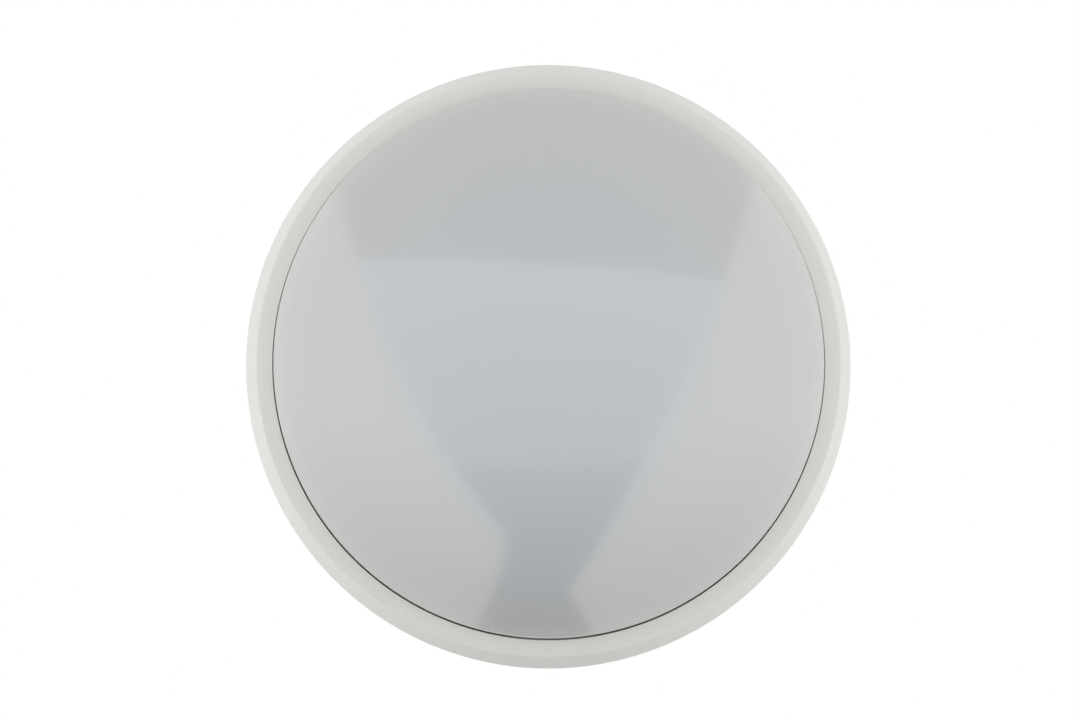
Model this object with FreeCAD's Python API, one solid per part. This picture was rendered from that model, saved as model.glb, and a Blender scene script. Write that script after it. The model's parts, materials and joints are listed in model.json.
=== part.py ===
"""Round outdoor wall light with a domed opal diffuser inside a clip-on trim ring.

Millimetres. The wall is the plane Y = 0, the light faces -Y, +Z is up, and the origin is the
middle of the rear face. A depth is a distance from the wall towards the viewer, so Y = -depth.
An angle runs from +X towards +Z, which is anticlockwise for someone facing the light.
"""

import FreeCAD
import Part
import math
import os

from FreeCAD import Vector

# Trim ring
RING_RADIUS = 150.0  # widest, at the rear edge
RING_REAR = 7.5  # depth of the rear edge, which leaves a shadow gap to the wall
RING_DEPTH = 18.5  # rear edge to the front outer corner
RING_LAND = 1.5  # straight edge at the rear, before the side tapers
RING_TAPER = 5.8  # radius lost from the land to the front corner
RING_FACE = 8.45  # radial width of the front face
RING_FACE_RISE = 3.0  # how far the face's inner edge stands proud of its outer edge
RING_WALL = 2.2
RING_COLLAR = 5.0  # depth of the collar that lines the opening
RING_COLLAR_WALL = 2.0
RING_CORNER = 2.2  # rounding of the front outer corner
RING_LIP = 0.2  # rounding of the collar's front edge
RING_RIB_COUNT = 24
RING_RIB_WALL = 1.6

# Spring clips that hold the trim ring
CLIP_COUNT = 6
CLIP_WIDTH = 12.0
CLIP_STRIP = 0.8
CLIP_CLEARANCE = 0.7  # clip leg to the base rim
CLIP_BITE = 1.4  # how far the clip's nose reaches behind the base flange
CLIP_LEG = 11.0  # straight part, above the flange's rear face
CLIP_NOSE_DROP = 1.6  # flange's rear face to the tip of the nose
CLIP_TAIL = 0.9  # nose to the end of the clip
CLIP_PAD_WIDTH = 15.0
CLIP_PAD_REST = 1.5  # pad end to clip end
CLIP_STAKE_RADIUS = 1.5
CLIP_STAKE_CLEARANCE = 0.05

# Diffuser
GAP = 0.35  # ring collar to diffuser wall, the dark line in the front view
DIFFUSER_WALL = 2.2
DIFFUSER_STEP = 10.0  # drafted wall that stands proud of the ring
DIFFUSER_DRAFT = 4.0  # degrees, lean of the drafted wall towards the axis
SHOULDER_RADIUS = 0.8  # outside, where the wall turns into the dome
SHOULDER_INSIDE = 1.5
DOME_RISE = 28.0  # end of the drafted wall to the middle of the dome
LUG_COUNT = 8
LUG_REACH = 1.8
LUG_THICKNESS = 2.2
LUG_ANGLE = 14.0
LUG_OFFSET = 0.6  # rear edge of the wall to the rear of a lug
LUG_CLEARANCE = 0.4  # lug to rim, radially

# Hooks and stops of the twist lock, moulded on the base
HOOK_CLEARANCE = 0.4  # hook to diffuser wall, radially
HOOK_LIFT = 0.3  # lug to hook, along the axis
HOOK_THICKNESS = 2.5
HOOK_ANGLE = 18.0
STOP_ANGLE = 1.5

# Base pan
RIM_WALL = 2.6
RIM_LIP = 1.2  # hook to the front edge of the rim
SHELF_DEPTH = 13.0  # depth of the gasket's seat
SHELF_WALL = 2.5
UPSTAND_WALL = 2.0
UPSTAND_HEIGHT = 2.5
PAN_WALL = 2.8
BACK_WALL = 3.0
PAN_CORNER = 2.0
FOOT_GROOVE_WIDTH = 3.0  # moulded grooves round the rear face
FOOT_GROOVE_DEPTH = 0.8
FOOT_GROOVE_INSETS = (8.0, 16.0)

# Seal between base and diffuser
GASKET_HEIGHT = 3.0
GASKET_INSIDE = 2.0  # gasket beyond the diffuser wall, inwards
GASKET_FIT = 0.4  # gasket to its walls

# Wall fixing holes with their seals
FIXING_CIRCLE = 210.0
FIXING_COUNT = 4
FIXING_FIRST_ANGLE = 45.0
FIXING_HOLE_RADIUS = 2.75
FIXING_BOSS_HEIGHT = 3.0
FIXING_BOSS_WALL = 2.2
SEAL_RADIUS = 6.0
SEAL_BORE_RADIUS = 2.4
SEAL_THICKNESS = 2.0
SEAL_FIT = 0.3

# Rear cable entry with its grommet
ENTRY_PLACE = (0.0, -48.0)
ENTRY_HOLE_RADIUS = 10.0
ENTRY_RECESS_RADIUS = 14.5
ENTRY_RECESS_DEPTH = 2.5
ENTRY_BOSS_WALL = 2.5
GROMMET_FIT = 0.1
GROMMET_FLANGE = 2.5  # flange beyond the hole, radially
GROMMET_FLANGE_WALL = 2.0
GROMMET_NOSE_LENGTH = 4.5
GROMMET_NOSE_WALL = 2.2
GROMMET_BORE_RADIUS = 4.0

# Gear tray, its posts and screws
POST_COUNT = 4
POST_RADIUS = 5.0
POST_INSET = 11.2  # pan wall to post
POST_RIB_WALL = 1.8
POST_RIB_HEIGHT = 10.0
POST_BORE_RADIUS = 1.6
POST_BORE_LENGTH = 13.0
TRAY_DEPTH = 24.0  # depth of the tray's rear face, on the posts
TRAY_WALL = 1.0
TRAY_GAP = 4.2  # pan wall to tray
TRAY_RIM = 6.0
SCREW_FIT = 0.05  # screw to the hole it cuts its thread in
PASS_FIT = 0.5  # screw to a plain hole
TRAY_HEAD_RADIUS = 3.6
TRAY_HEAD_HEIGHT = 2.4
WASHER_RADIUS = 4.8
WASHER_WALL = 0.8

# LED board
BOARD_GAP = 7.3  # tray washers to board
BOARD_WALL = 1.6
BOARD_SCREW_INSET = 10.0  # board edge to screw
BOARD_SCREW_COUNT = 6
BOARD_SCREW_RADIUS = 1.3
BOARD_SCREW_TIP = 2.0  # screw tip behind the tray
BOARD_HEAD_RADIUS = 2.6
BOARD_HEAD_HEIGHT = 1.6
LED_RINGS = ((0.34, 10), (0.57, 17), (0.79, 24))  # share of the board's radius, and count
LED_LENGTH = 3.5
LED_WIDTH = 2.8
LED_HEIGHT = 0.8
LED_CUP_RADIUS = 1.15
LED_CUP_DEPTH = 0.35

# Bush for the LED leads, in the middle of the tray
BUSH_RADIUS = 9.0
BUSH_BORE_RADIUS = 7.0
BUSH_FLANGE = 2.0
BUSH_FLANGE_WALL = 1.4
BUSH_CLEARANCE = 1.0  # bush flange to the board's opening

# Connector on the LED board
CONNECTOR_WIDTH = 11.0
CONNECTOR_LENGTH = 8.0
CONNECTOR_HEIGHT = 4.4
CONNECTOR_GAP = 2.0  # board opening to connector
CONNECTOR_PITCH = 5.0
CONNECTOR_BORE_LENGTH = 5.0

# LED driver on the base floor
DRIVER_PLACE = (0.0, 58.0)
DRIVER_LENGTH = 104.0
DRIVER_WIDTH = 40.0
DRIVER_CASE_HEIGHT = 14.0
DRIVER_LID_HEIGHT = 4.0
DRIVER_WALL = 1.6
DRIVER_EAR_LENGTH = 10.0
DRIVER_EAR_WIDTH = 9.0
DRIVER_EAR_WALL = 2.0
DRIVER_EAR_LIFT = 5.0  # base floor to ear
DRIVER_POST_RADIUS = 3.5
DRIVER_SCREW_RADIUS = 1.15
DRIVER_HEAD_RADIUS = 2.6
DRIVER_HEAD_HEIGHT = 1.6
DRIVER_LEAD_PITCH = 12.0
DRIVER_STANDOFF_RADIUS = 2.0
DRIVER_STANDOFF_HEIGHT = 2.4
DRIVER_BOARD_MARGIN = 1.4
DRIVER_BOARD_WALL = 1.6
CORE_LENGTH = 22.0
CORE_WIDTH = 20.0
CORE_HEIGHT = 9.6
CORE_LIMB = 4.5
WINDING_FIT = 0.2
CAPACITOR_RADIUS = 4.8
CAPACITOR_LENGTH = 18.0
CAPACITOR_INSET = 13.0  # board end to capacitor
CAPACITOR_PITCH = 13.0
CHOKE_RADIUS = 6.5
CHOKE_BORE_RADIUS = 2.6
CHOKE_HEIGHT = 6.0
CHOKE_INSET = 15.5  # board end to choke

# Mains terminal block
TERMINAL_PLACE = (-40.0, -38.0)
TERMINAL_POLES = 3
TERMINAL_PITCH = 9.0
TERMINAL_END = 2.5  # last bore to the end of the block
TERMINAL_WIDTH = 18.0
TERMINAL_HEIGHT = 14.0
TERMINAL_PEDESTAL = 2.0
TERMINAL_PEDESTAL_WIDTH = 12.0
CLAMP_RADIUS = 2.55
CLAMP_BORE_RADIUS = 1.5
CLAMP_FIT = 0.05
CLAMP_INSET = 1.5
GRUB_RADIUS = 1.3
GRUB_LENGTH = 4.0
GRUB_INSET = 4.5  # block side to grub screw
GRUB_WELL_FIT = 0.5
TERMINAL_SCREW_RADIUS = 1.25
TERMINAL_HEAD_RADIUS = 2.3
TERMINAL_HEAD_HEIGHT = 1.8
TERMINAL_HEAD_SINK = 2.5

# Leads
MAINS_LEAD = 2.2  # diameter over the insulation
LED_LEAD = 1.8
LEAD_DEPTH = 12.0  # depth of the leads, the driver's lead holes and the terminal bores
LEAD_FIT = 0.25
LEAD_TAIL = 8.0  # lead inside the driver
LEAD_GRIP = 5.0  # lead inside a terminal clamp
BEND_SHARE = 0.45  # share of the shorter run that a bend takes
LEAST_TURN = 0.01  # radians, below which two runs are in line and need no bend
NEUTRAL_BOW = 33.0  # how far a lead swings out beyond its start
LIVE_BOW = 20.0
NEGATIVE_BOW = 16.0
POSITIVE_BOW = 32.0
NEGATIVE_CLIMB = 0.15  # height at which a lead passes the tray, as a share of the bush's bore
POSITIVE_CLIMB = -0.57

# Earth point on the tray
EARTH_INSET = 15.9  # tray edge to earth screw
EARTH_ANGLE = -33.7
EARTH_LEAD_ANGLE = 153.4  # direction in which the lead leaves
EARTH_SCREW_RADIUS = 1.95
EARTH_HEAD_RADIUS = 3.6
EARTH_HEAD_HEIGHT = 2.4
EARTH_NUT_WALL = 3.2
EARTH_NUT_FLATS = 7.0
EARTH_SCREW_END = 1.0
TAG_RADIUS = 4.2
TAG_WALL = 0.8
TAG_BARREL_RADIUS = 1.7
TAG_BARREL_START = 5.0
TAG_BARREL_LENGTH = 6.0

CROSS_SLOT = 0.7  # width of a screw's cross recess
CROSS_DEPTH = 1.0
OVERCUT = 1.0  # how far a cutting tool runs past a face

# Radii and lengths that follow from the sizes above, from the ring inwards
ring_front_radius = RING_RADIUS - RING_TAPER
ring_bore_radius = ring_front_radius - RING_FACE
collar_radius = ring_bore_radius + RING_COLLAR_WALL
diffuser_radius = ring_bore_radius - GAP
diffuser_bore_radius = diffuser_radius - DIFFUSER_WALL
diffuser_draft = math.radians(DIFFUSER_DRAFT)
diffuser_front_radius = diffuser_radius - DIFFUSER_STEP * math.tan(diffuser_draft)
lug_radius = diffuser_radius + LUG_REACH
rim_bore_radius = lug_radius + LUG_CLEARANCE
rim_radius = rim_bore_radius + RIM_WALL
hook_radius = diffuser_radius + HOOK_CLEARANCE
gasket_radius = rim_bore_radius - GASKET_FIT
gasket_bore_radius = diffuser_bore_radius - GASKET_INSIDE
upstand_radius = gasket_bore_radius - GASKET_FIT
pan_bore_radius = upstand_radius - UPSTAND_WALL
pan_radius = pan_bore_radius + PAN_WALL
tray_radius = pan_bore_radius - TRAY_GAP
post_circle_radius = pan_bore_radius - POST_INSET - POST_RADIUS
clip_face = rim_radius + CLIP_CLEARANCE + CLIP_STRIP  # outer face of a clip's leg
board_radius = post_circle_radius - WASHER_RADIUS - BOARD_GAP
board_screw_radius = board_radius - BOARD_SCREW_INSET
board_bore_radius = BUSH_RADIUS + BUSH_FLANGE + BUSH_CLEARANCE
earth_radius = tray_radius - EARTH_INSET
driver_board_length = DRIVER_LENGTH - 2 * (DRIVER_WALL + DRIVER_BOARD_MARGIN)
driver_board_width = DRIVER_WIDTH - 2 * (DRIVER_WALL + DRIVER_BOARD_MARGIN)

# Depths that follow, from the wall forwards
ring_land = RING_REAR + RING_LAND
ring_front = RING_REAR + RING_DEPTH
ring_crest = ring_front + RING_FACE_RISE
shelf_rear = SHELF_DEPTH - SHELF_WALL
diffuser_rear = SHELF_DEPTH + GASKET_HEIGHT
lug_rear = diffuser_rear + LUG_OFFSET
lug_front = lug_rear + LUG_THICKNESS
hook_rear = lug_front + HOOK_LIFT
hook_front = hook_rear + HOOK_THICKNESS
rim_front = hook_front + RIM_LIP
wall_end = ring_crest + DIFFUSER_STEP
tray_front = TRAY_DEPTH + TRAY_WALL
board_front = tray_front + BOARD_WALL
driver_case_front = BACK_WALL + DRIVER_CASE_HEIGHT
driver_lid_front = driver_case_front + DRIVER_LID_HEIGHT
driver_board_rear = BACK_WALL + DRIVER_WALL + DRIVER_STANDOFF_HEIGHT
driver_board_front = driver_board_rear + DRIVER_BOARD_WALL
ear_rear = BACK_WALL + DRIVER_EAR_LIFT
ear_front = ear_rear + DRIVER_EAR_WALL
terminal_rear = BACK_WALL + TERMINAL_PEDESTAL
terminal_front = terminal_rear + TERMINAL_HEIGHT

AXIS = Vector(0, -1, 0)
CENTRE = Vector(0, 0, 0)


# Shape helpers
def point(radius, depth):
    """A place in the half-plane of an outline that is turned round the light's axis."""
    return Vector(radius, -depth, 0)


def spot(place, depth):
    """A place given as (x, z) and a depth."""
    return Vector(place[0], -depth, place[1])


def corner_arc(before, corner, after, radius):
    """The tangent arc that rounds a corner, with its two ends."""
    inward = (before - corner).normalize()
    outward = (after - corner).normalize()
    half = inward.getAngle(outward) / 2
    reach = radius / math.tan(half)
    start = corner + inward * reach
    end = corner + outward * reach
    bisector = (inward + outward).normalize()
    middle = corner + bisector * (radius / math.sin(half) - radius)
    return start, Part.Arc(start, middle, end), end


def outline(corners):
    """A closed face from (radius, depth, rounding) corners."""
    places = [point(radius, depth) for radius, depth, _ in corners]
    edges = []
    first = last = None
    for i, (_, _, rounding) in enumerate(corners):
        if rounding:
            start, arc, end = corner_arc(places[i - 1], places[i], places[(i + 1) % len(places)], rounding)
        else:
            start, arc, end = places[i], None, places[i]
        if last is None:
            first = start
        else:
            edges.append(Part.LineSegment(last, start).toShape())
        if arc:
            edges.append(arc.toShape())
        last = end
    edges.append(Part.LineSegment(last, first).toShape())
    return Part.Face(Part.Wire(edges))


def turned(shape, angle):
    """A copy turned about the light's axis, anticlockwise for the viewer."""
    copy = shape.copy()
    copy.rotate(CENTRE, AXIS, angle)
    return copy


def spin(face, angle=360.0):
    return face.revolve(CENTRE, AXIS, angle)


def ring(inner, outer, rear, front):
    return spin(outline([(inner, rear, 0), (outer, rear, 0), (outer, front, 0), (inner, front, 0)]))


def sector(inner, outer, rear, front, start, width):
    """A block between two radii and two depths that spans an angle."""
    face = outline([(inner, rear, 0), (outer, rear, 0), (outer, front, 0), (inner, front, 0)])
    return turned(spin(face, width), start)


def block(middle, length, width, rear, front):
    """A box of a length along X and a width along Z, between two depths."""
    corner = Vector(middle[0] - length / 2, -front, middle[1] - width / 2)
    return Part.makeBox(length, front - rear, width, corner)


def rod(place, radius, rear, front):
    """A cylinder along the light's axis between two depths."""
    return Part.makeCylinder(radius, front - rear, spot(place, rear), AXIS)


def pattern(count, circle_radius, first_angle=0.0):
    """Places spread evenly on a circle."""
    angles = [math.radians(first_angle + 360.0 * i / count) for i in range(count)]
    return [(circle_radius * math.cos(a), circle_radius * math.sin(a)) for a in angles]


def even_angles(count, first_angle=0.0):
    return [first_angle + 360.0 * i / count for i in range(count)]


def beside(place, dx, dz):
    return (place[0] + dx, place[1] + dz)


def cross_recess(place, head_radius, front):
    """The cross-shaped cut in a screw head."""
    reach = 1.2 * head_radius
    bar = block(place, reach, CROSS_SLOT, front - CROSS_DEPTH, front)
    return bar.fuse(block(place, CROSS_SLOT, reach, front - CROSS_DEPTH, front))


def pan_screw(place, shank_radius, tip, seat, head_radius, head_height):
    """A screw whose rounded head sits at the seat depth and faces the viewer."""
    front = seat + head_height
    head = rod(place, head_radius, seat, front)
    crown = [e for e in head.Edges if abs(e.CenterOfMass.y + front) < 1e-6]
    head = head.makeFillet(0.45 * head_height, crown)
    return head.fuse(rod(place, shank_radius, tip, seat)).cut(cross_recess(place, head_radius, front))


def lead(points, diameter, name):
    """A round lead along straight runs joined by tangent arcs, as wide as the runs allow."""
    edges = []
    last = points[0]
    radii = []
    for before, corner, after in zip(points, points[1:], points[2:]):
        inward = before - corner
        outward = after - corner
        half_turn = (math.pi - inward.getAngle(outward)) / 2
        if half_turn < LEAST_TURN:
            continue
        radius = BEND_SHARE * min(inward.Length, outward.Length) / math.tan(half_turn)
        start, arc, end = corner_arc(before, corner, after, radius)
        edges.append(Part.LineSegment(last, start).toShape())
        edges.append(arc.toShape())
        radii.append(radius)
        last = end
    edges.append(Part.LineSegment(last, points[-1]).toShape())
    path = Part.Wire(edges)
    section = Part.Wire(Part.makeCircle(diameter / 2, points[0], points[1] - points[0]))
    tube = path.makePipeShell([section], True, False)
    expected = math.pi * diameter**2 / 4 * path.Length
    bends = ", ".join(f"{radius:.1f}" for radius in radii)
    share = tube.Volume / expected
    print(f"{name}: {path.Length:.1f} mm, volume {share:.4f} of section x length, bends {bends}")
    return tube


# Trim ring
def ring_outer_radius(depth):
    """Radius of the ring's tapered outside at a depth."""
    return RING_RADIUS - RING_TAPER * (depth - ring_land) / (ring_front - ring_land)


def trim_ring():
    lining = ring_front - RING_WALL  # depth of the inside of the front face, at its outer edge
    lining_rise = RING_FACE_RISE * (RING_FACE - RING_COLLAR_WALL) / RING_FACE
    shell = spin(
        outline(
            [
                (RING_RADIUS, RING_REAR, 0.3 * RING_WALL),
                (RING_RADIUS, ring_land, 0),
                (ring_front_radius, ring_front, RING_CORNER),
                (ring_bore_radius, ring_crest, RING_LIP),
                (ring_bore_radius, ring_crest - RING_COLLAR, 0),
                (collar_radius, ring_crest - RING_COLLAR, 0),
                (collar_radius, lining + lining_rise, 0),
                (ring_outer_radius(lining) - RING_WALL, lining, 0),
                (RING_RADIUS - RING_WALL, ring_land, 0),
                (RING_RADIUS - RING_WALL, RING_REAR, 0),
            ]
        )
    )
    mid_wall = RING_WALL / 2
    filling = spin(
        outline(
            [
                (collar_radius - RING_COLLAR_WALL / 2, rim_front, 0),
                (ring_outer_radius(rim_front) - mid_wall, rim_front, 0),
                (ring_outer_radius(lining) - mid_wall, lining + mid_wall, 0),
                (collar_radius - RING_COLLAR_WALL / 2, lining + lining_rise + mid_wall, 0),
            ]
        )
    )
    rib_corner = Vector(0, -ring_front, -RING_RIB_WALL / 2)
    rib_blank = Part.makeBox(RING_RADIUS, ring_front, RING_RIB_WALL, rib_corner)
    rib = filling.common(rib_blank)
    shell = shell.fuse([turned(rib, a) for a in even_angles(RING_RIB_COUNT, 180.0 / RING_RIB_COUNT)])

    pad_rear = shelf_rear + CLIP_PAD_REST
    pad_front = shelf_rear + CLIP_LEG
    pad_room = spin(
        outline(
            [
                (clip_face, pad_rear, 0),
                (ring_outer_radius(pad_rear) - mid_wall, pad_rear, 0),
                (ring_outer_radius(pad_front) - mid_wall, pad_front, 0),
                (clip_face, pad_front, 0),
            ]
        )
    )
    pad_corner = Vector(clip_face, -ring_front, -CLIP_PAD_WIDTH / 2)
    pad_blank = Part.makeBox(RING_RADIUS - clip_face, ring_front, CLIP_PAD_WIDTH, pad_corner)
    stake_depth = (pad_rear + pad_front) / 2
    stake = Part.makeCylinder(
        CLIP_STAKE_RADIUS, 2 * CLIP_STRIP, Vector(clip_face - CLIP_STRIP, -stake_depth, 0), Vector(1, 0, 0)
    )
    pad = pad_room.common(pad_blank).fuse(stake)
    return shell.fuse([turned(pad, a) for a in even_angles(CLIP_COUNT)]).removeSplitter()


def strip_face(centreline, thickness):
    """The face of a bent strip, half its thickness to either side of a centreline."""
    sides = ([], [])
    for i, (radius, depth) in enumerate(centreline):
        here = point(radius, depth)
        ahead = point(*centreline[min(i + 1, len(centreline) - 1)]) - point(*centreline[max(i - 1, 0)])
        if 0 < i < len(centreline) - 1:
            inward = (point(*centreline[i - 1]) - here).normalize()
            outward = (point(*centreline[i + 1]) - here).normalize()
            ahead = outward - inward
            widening = 1 / math.sin(inward.getAngle(outward) / 2)
        else:
            widening = 1.0
        across = ahead.cross(Vector(0, 0, 1)).normalize() * (thickness / 2 * widening)
        sides[0].append(here + across)
        sides[1].append(here - across)
    loop = sides[0] + sides[1][::-1]
    return Part.Face(Part.makePolygon(loop + loop[:1]))


def trim_clips():
    """Leaf springs staked to the ring's pads, with a nose that snaps behind the base flange."""
    leg = clip_face - CLIP_STRIP / 2
    nose = rim_radius - CLIP_BITE + CLIP_STRIP / 2
    nose_depth = shelf_rear - CLIP_NOSE_DROP
    centreline = [
        (leg, shelf_rear + CLIP_LEG),
        (leg, shelf_rear),
        (nose, nose_depth),
        (nose + CLIP_TAIL, nose_depth - CLIP_TAIL),
    ]
    face = strip_face(centreline, CLIP_STRIP)
    face.translate(Vector(0, 0, -CLIP_WIDTH / 2))
    strip = face.extrude(Vector(0, 0, CLIP_WIDTH))
    stake_depth = shelf_rear + (CLIP_PAD_REST + CLIP_LEG) / 2
    hole = Part.makeCylinder(
        CLIP_STAKE_RADIUS + CLIP_STAKE_CLEARANCE,
        4 * CLIP_STRIP,
        Vector(clip_face - 2 * CLIP_STRIP, -stake_depth, 0),
        Vector(1, 0, 0),
    )
    clip = strip.cut(hole)
    return Part.makeCompound([turned(clip, a) for a in even_angles(CLIP_COUNT)])


# Diffuser
def dome_radius():
    """Radius of the dome that meets the rounded shoulder without a crease."""
    reach = diffuser_front_radius - SHOULDER_RADIUS * math.cos(diffuser_draft)
    rise = DOME_RISE + SHOULDER_RADIUS * math.sin(diffuser_draft)
    return (reach**2 + rise**2 - SHOULDER_RADIUS**2) / (2 * (rise - SHOULDER_RADIUS))


def dome_edges(wall, dome, shoulder):
    """The half outline of a dome, from its drafted wall to the axis: a rounded shoulder and the crown.

    The shoulder's middle lies on the drafted wall moved in by the shoulder's radius, and as far from the
    dome's middle as the two radii differ.
    """
    slope = math.tan(diffuser_draft)
    centre_depth = wall_end + DOME_RISE - dome_radius()
    offset = wall - shoulder / math.cos(diffuser_draft) + (ring_crest - centre_depth) * slope
    span = 1 + slope**2
    ahead = (offset * slope + math.sqrt((dome - shoulder) ** 2 * span - offset**2)) / span
    reach = offset - ahead * slope
    lean = math.atan2(ahead, reach)
    dome_centre = point(0, centre_depth)
    shoulder_centre = point(reach, centre_depth + ahead)

    def on_shoulder(angle):
        return shoulder_centre + Vector(math.cos(angle), -math.sin(angle), 0) * shoulder

    def on_dome(angle):
        return dome_centre + Vector(math.cos(angle), -math.sin(angle), 0) * dome

    start = diffuser_draft
    edge = Part.Arc(on_shoulder(start), on_shoulder((start + lean) / 2), on_shoulder(lean))
    crown = Part.Arc(on_dome(lean), on_dome((lean + math.pi / 2) / 2), on_dome(math.pi / 2))
    return edge, crown


def diffuser():
    dome = dome_radius()
    edge, crown = dome_edges(diffuser_radius, dome, SHOULDER_RADIUS)
    inner_edge, inner_crown = dome_edges(diffuser_bore_radius, dome - DIFFUSER_WALL, SHOULDER_INSIDE)
    outer_foot = point(diffuser_radius, diffuser_rear)
    inner_foot = point(diffuser_bore_radius, diffuser_rear)
    outer_knee = point(diffuser_radius, ring_crest)
    inner_knee = point(diffuser_bore_radius, ring_crest)
    loop = [
        Part.LineSegment(outer_foot, outer_knee),
        Part.LineSegment(outer_knee, edge.StartPoint),
        edge,
        crown,
        Part.LineSegment(crown.EndPoint, inner_crown.EndPoint),
        inner_crown,
        inner_edge,
        Part.LineSegment(inner_edge.StartPoint, inner_knee),
        Part.LineSegment(inner_knee, inner_foot),
        Part.LineSegment(inner_foot, outer_foot),
    ]
    shell = spin(Part.Face(Part.Wire(Part.__sortEdges__([curve.toShape() for curve in loop]))))
    root = diffuser_radius - DIFFUSER_WALL / 2
    starts = even_angles(LUG_COUNT, -LUG_ANGLE / 2)
    lugs = [sector(root, lug_radius, lug_rear, lug_front, start, LUG_ANGLE) for start in starts]
    return shell.fuse(lugs).removeSplitter()


# Base pan
def base_pan():
    pan = spin(
        outline(
            [
                (0, 0, 0),
                (pan_radius, 0, PAN_CORNER),
                (pan_radius, shelf_rear, PAN_CORNER),
                (rim_radius, shelf_rear, 0.3 * RIM_WALL),
                (rim_radius, rim_front, 0.3 * RIM_WALL),
                (rim_bore_radius, rim_front, 0.3 * RIM_WALL),
                (rim_bore_radius, SHELF_DEPTH, 0),
                (upstand_radius, SHELF_DEPTH, 0),
                (upstand_radius, SHELF_DEPTH + UPSTAND_HEIGHT, 0.3 * UPSTAND_WALL),
                (pan_bore_radius, SHELF_DEPTH + UPSTAND_HEIGHT, 0.3 * UPSTAND_WALL),
                (pan_bore_radius, BACK_WALL, PAN_CORNER),
                (0, BACK_WALL, 0),
            ]
        )
    )
    return pan.fuse(lock_hooks() + floor_bosses()).cut(base_cuts()).removeSplitter()


def lock_hooks():
    """Hooks that the diffuser's lugs turn under, each with a stop at its clockwise end."""
    root = rim_bore_radius + RIM_WALL / 2
    hooks = []
    for angle in even_angles(LUG_COUNT):
        start = angle - HOOK_ANGLE / 2
        hooks.append(sector(hook_radius, root, hook_rear, hook_front, start, HOOK_ANGLE))
        hooks.append(sector(hook_radius, root, diffuser_rear + LUG_OFFSET / 2, hook_front, start, STOP_ANGLE))
    return hooks


def floor_bosses():
    """Posts, screw bosses and pads that stand on the base floor."""
    root = BACK_WALL / 2
    bosses = [rod(place, POST_RADIUS, root, TRAY_DEPTH) for place in post_places()]
    rib_length = pan_bore_radius + PAN_WALL / 2 - post_circle_radius
    rib = block(
        (post_circle_radius + rib_length / 2, 0), rib_length, POST_RIB_WALL, root, BACK_WALL + POST_RIB_HEIGHT
    )
    bosses += [turned(rib, a) for a in even_angles(POST_COUNT)]
    boss_radius = SEAL_RADIUS + SEAL_FIT + FIXING_BOSS_WALL
    bosses += [rod(place, boss_radius, root, BACK_WALL + FIXING_BOSS_HEIGHT) for place in fixing_places()]
    entry_front = ENTRY_RECESS_DEPTH + BACK_WALL
    bosses.append(rod(ENTRY_PLACE, ENTRY_RECESS_RADIUS + ENTRY_BOSS_WALL, root, entry_front))
    bosses += [rod(place, DRIVER_POST_RADIUS, root, ear_rear) for place in driver_screw_places()]
    bosses.append(block(TERMINAL_PLACE, terminal_length(), TERMINAL_PEDESTAL_WIDTH, root, terminal_rear))
    return bosses


def base_cuts():
    """Everything that is open in the base: screw holes, the cable entry and the rear grooves."""
    post_rear = TRAY_DEPTH - POST_BORE_LENGTH
    cuts = [rod(place, POST_BORE_RADIUS, post_rear, TRAY_DEPTH + OVERCUT) for place in post_places()]
    boss_front = BACK_WALL + FIXING_BOSS_HEIGHT
    for place in fixing_places():
        cuts.append(rod(place, FIXING_HOLE_RADIUS, -OVERCUT, boss_front))
        cuts.append(rod(place, SEAL_RADIUS + SEAL_FIT, BACK_WALL, boss_front + OVERCUT))
    cuts.append(rod(ENTRY_PLACE, ENTRY_RECESS_RADIUS, -OVERCUT, ENTRY_RECESS_DEPTH))
    cuts.append(rod(ENTRY_PLACE, ENTRY_HOLE_RADIUS, -OVERCUT, ENTRY_RECESS_DEPTH + BACK_WALL + OVERCUT))
    blind = BACK_WALL / 2
    for place in driver_screw_places():
        cuts.append(rod(place, DRIVER_SCREW_RADIUS + SCREW_FIT, blind, ear_rear + OVERCUT))
    for place in terminal_screw_places():
        cuts.append(rod(place, TERMINAL_SCREW_RADIUS + SCREW_FIT, blind, terminal_rear + OVERCUT))
    for inset in FOOT_GROOVE_INSETS:
        outer = pan_radius - inset
        cuts.append(ring(outer - FOOT_GROOVE_WIDTH, outer, -OVERCUT, FOOT_GROOVE_DEPTH))
    return cuts


def post_places():
    return pattern(POST_COUNT, post_circle_radius)


def fixing_places():
    return pattern(FIXING_COUNT, FIXING_CIRCLE / 2, FIXING_FIRST_ANGLE)


def seal_gasket():
    return ring(gasket_bore_radius, gasket_radius, SHELF_DEPTH, diffuser_rear)


def fixing_seals():
    seals = []
    for place in fixing_places():
        washer = rod(place, SEAL_RADIUS, BACK_WALL, BACK_WALL + SEAL_THICKNESS)
        seals.append(washer.cut(rod(place, SEAL_BORE_RADIUS, 0, BACK_WALL + SEAL_THICKNESS + OVERCUT)))
    return Part.makeCompound(seals)


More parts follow.
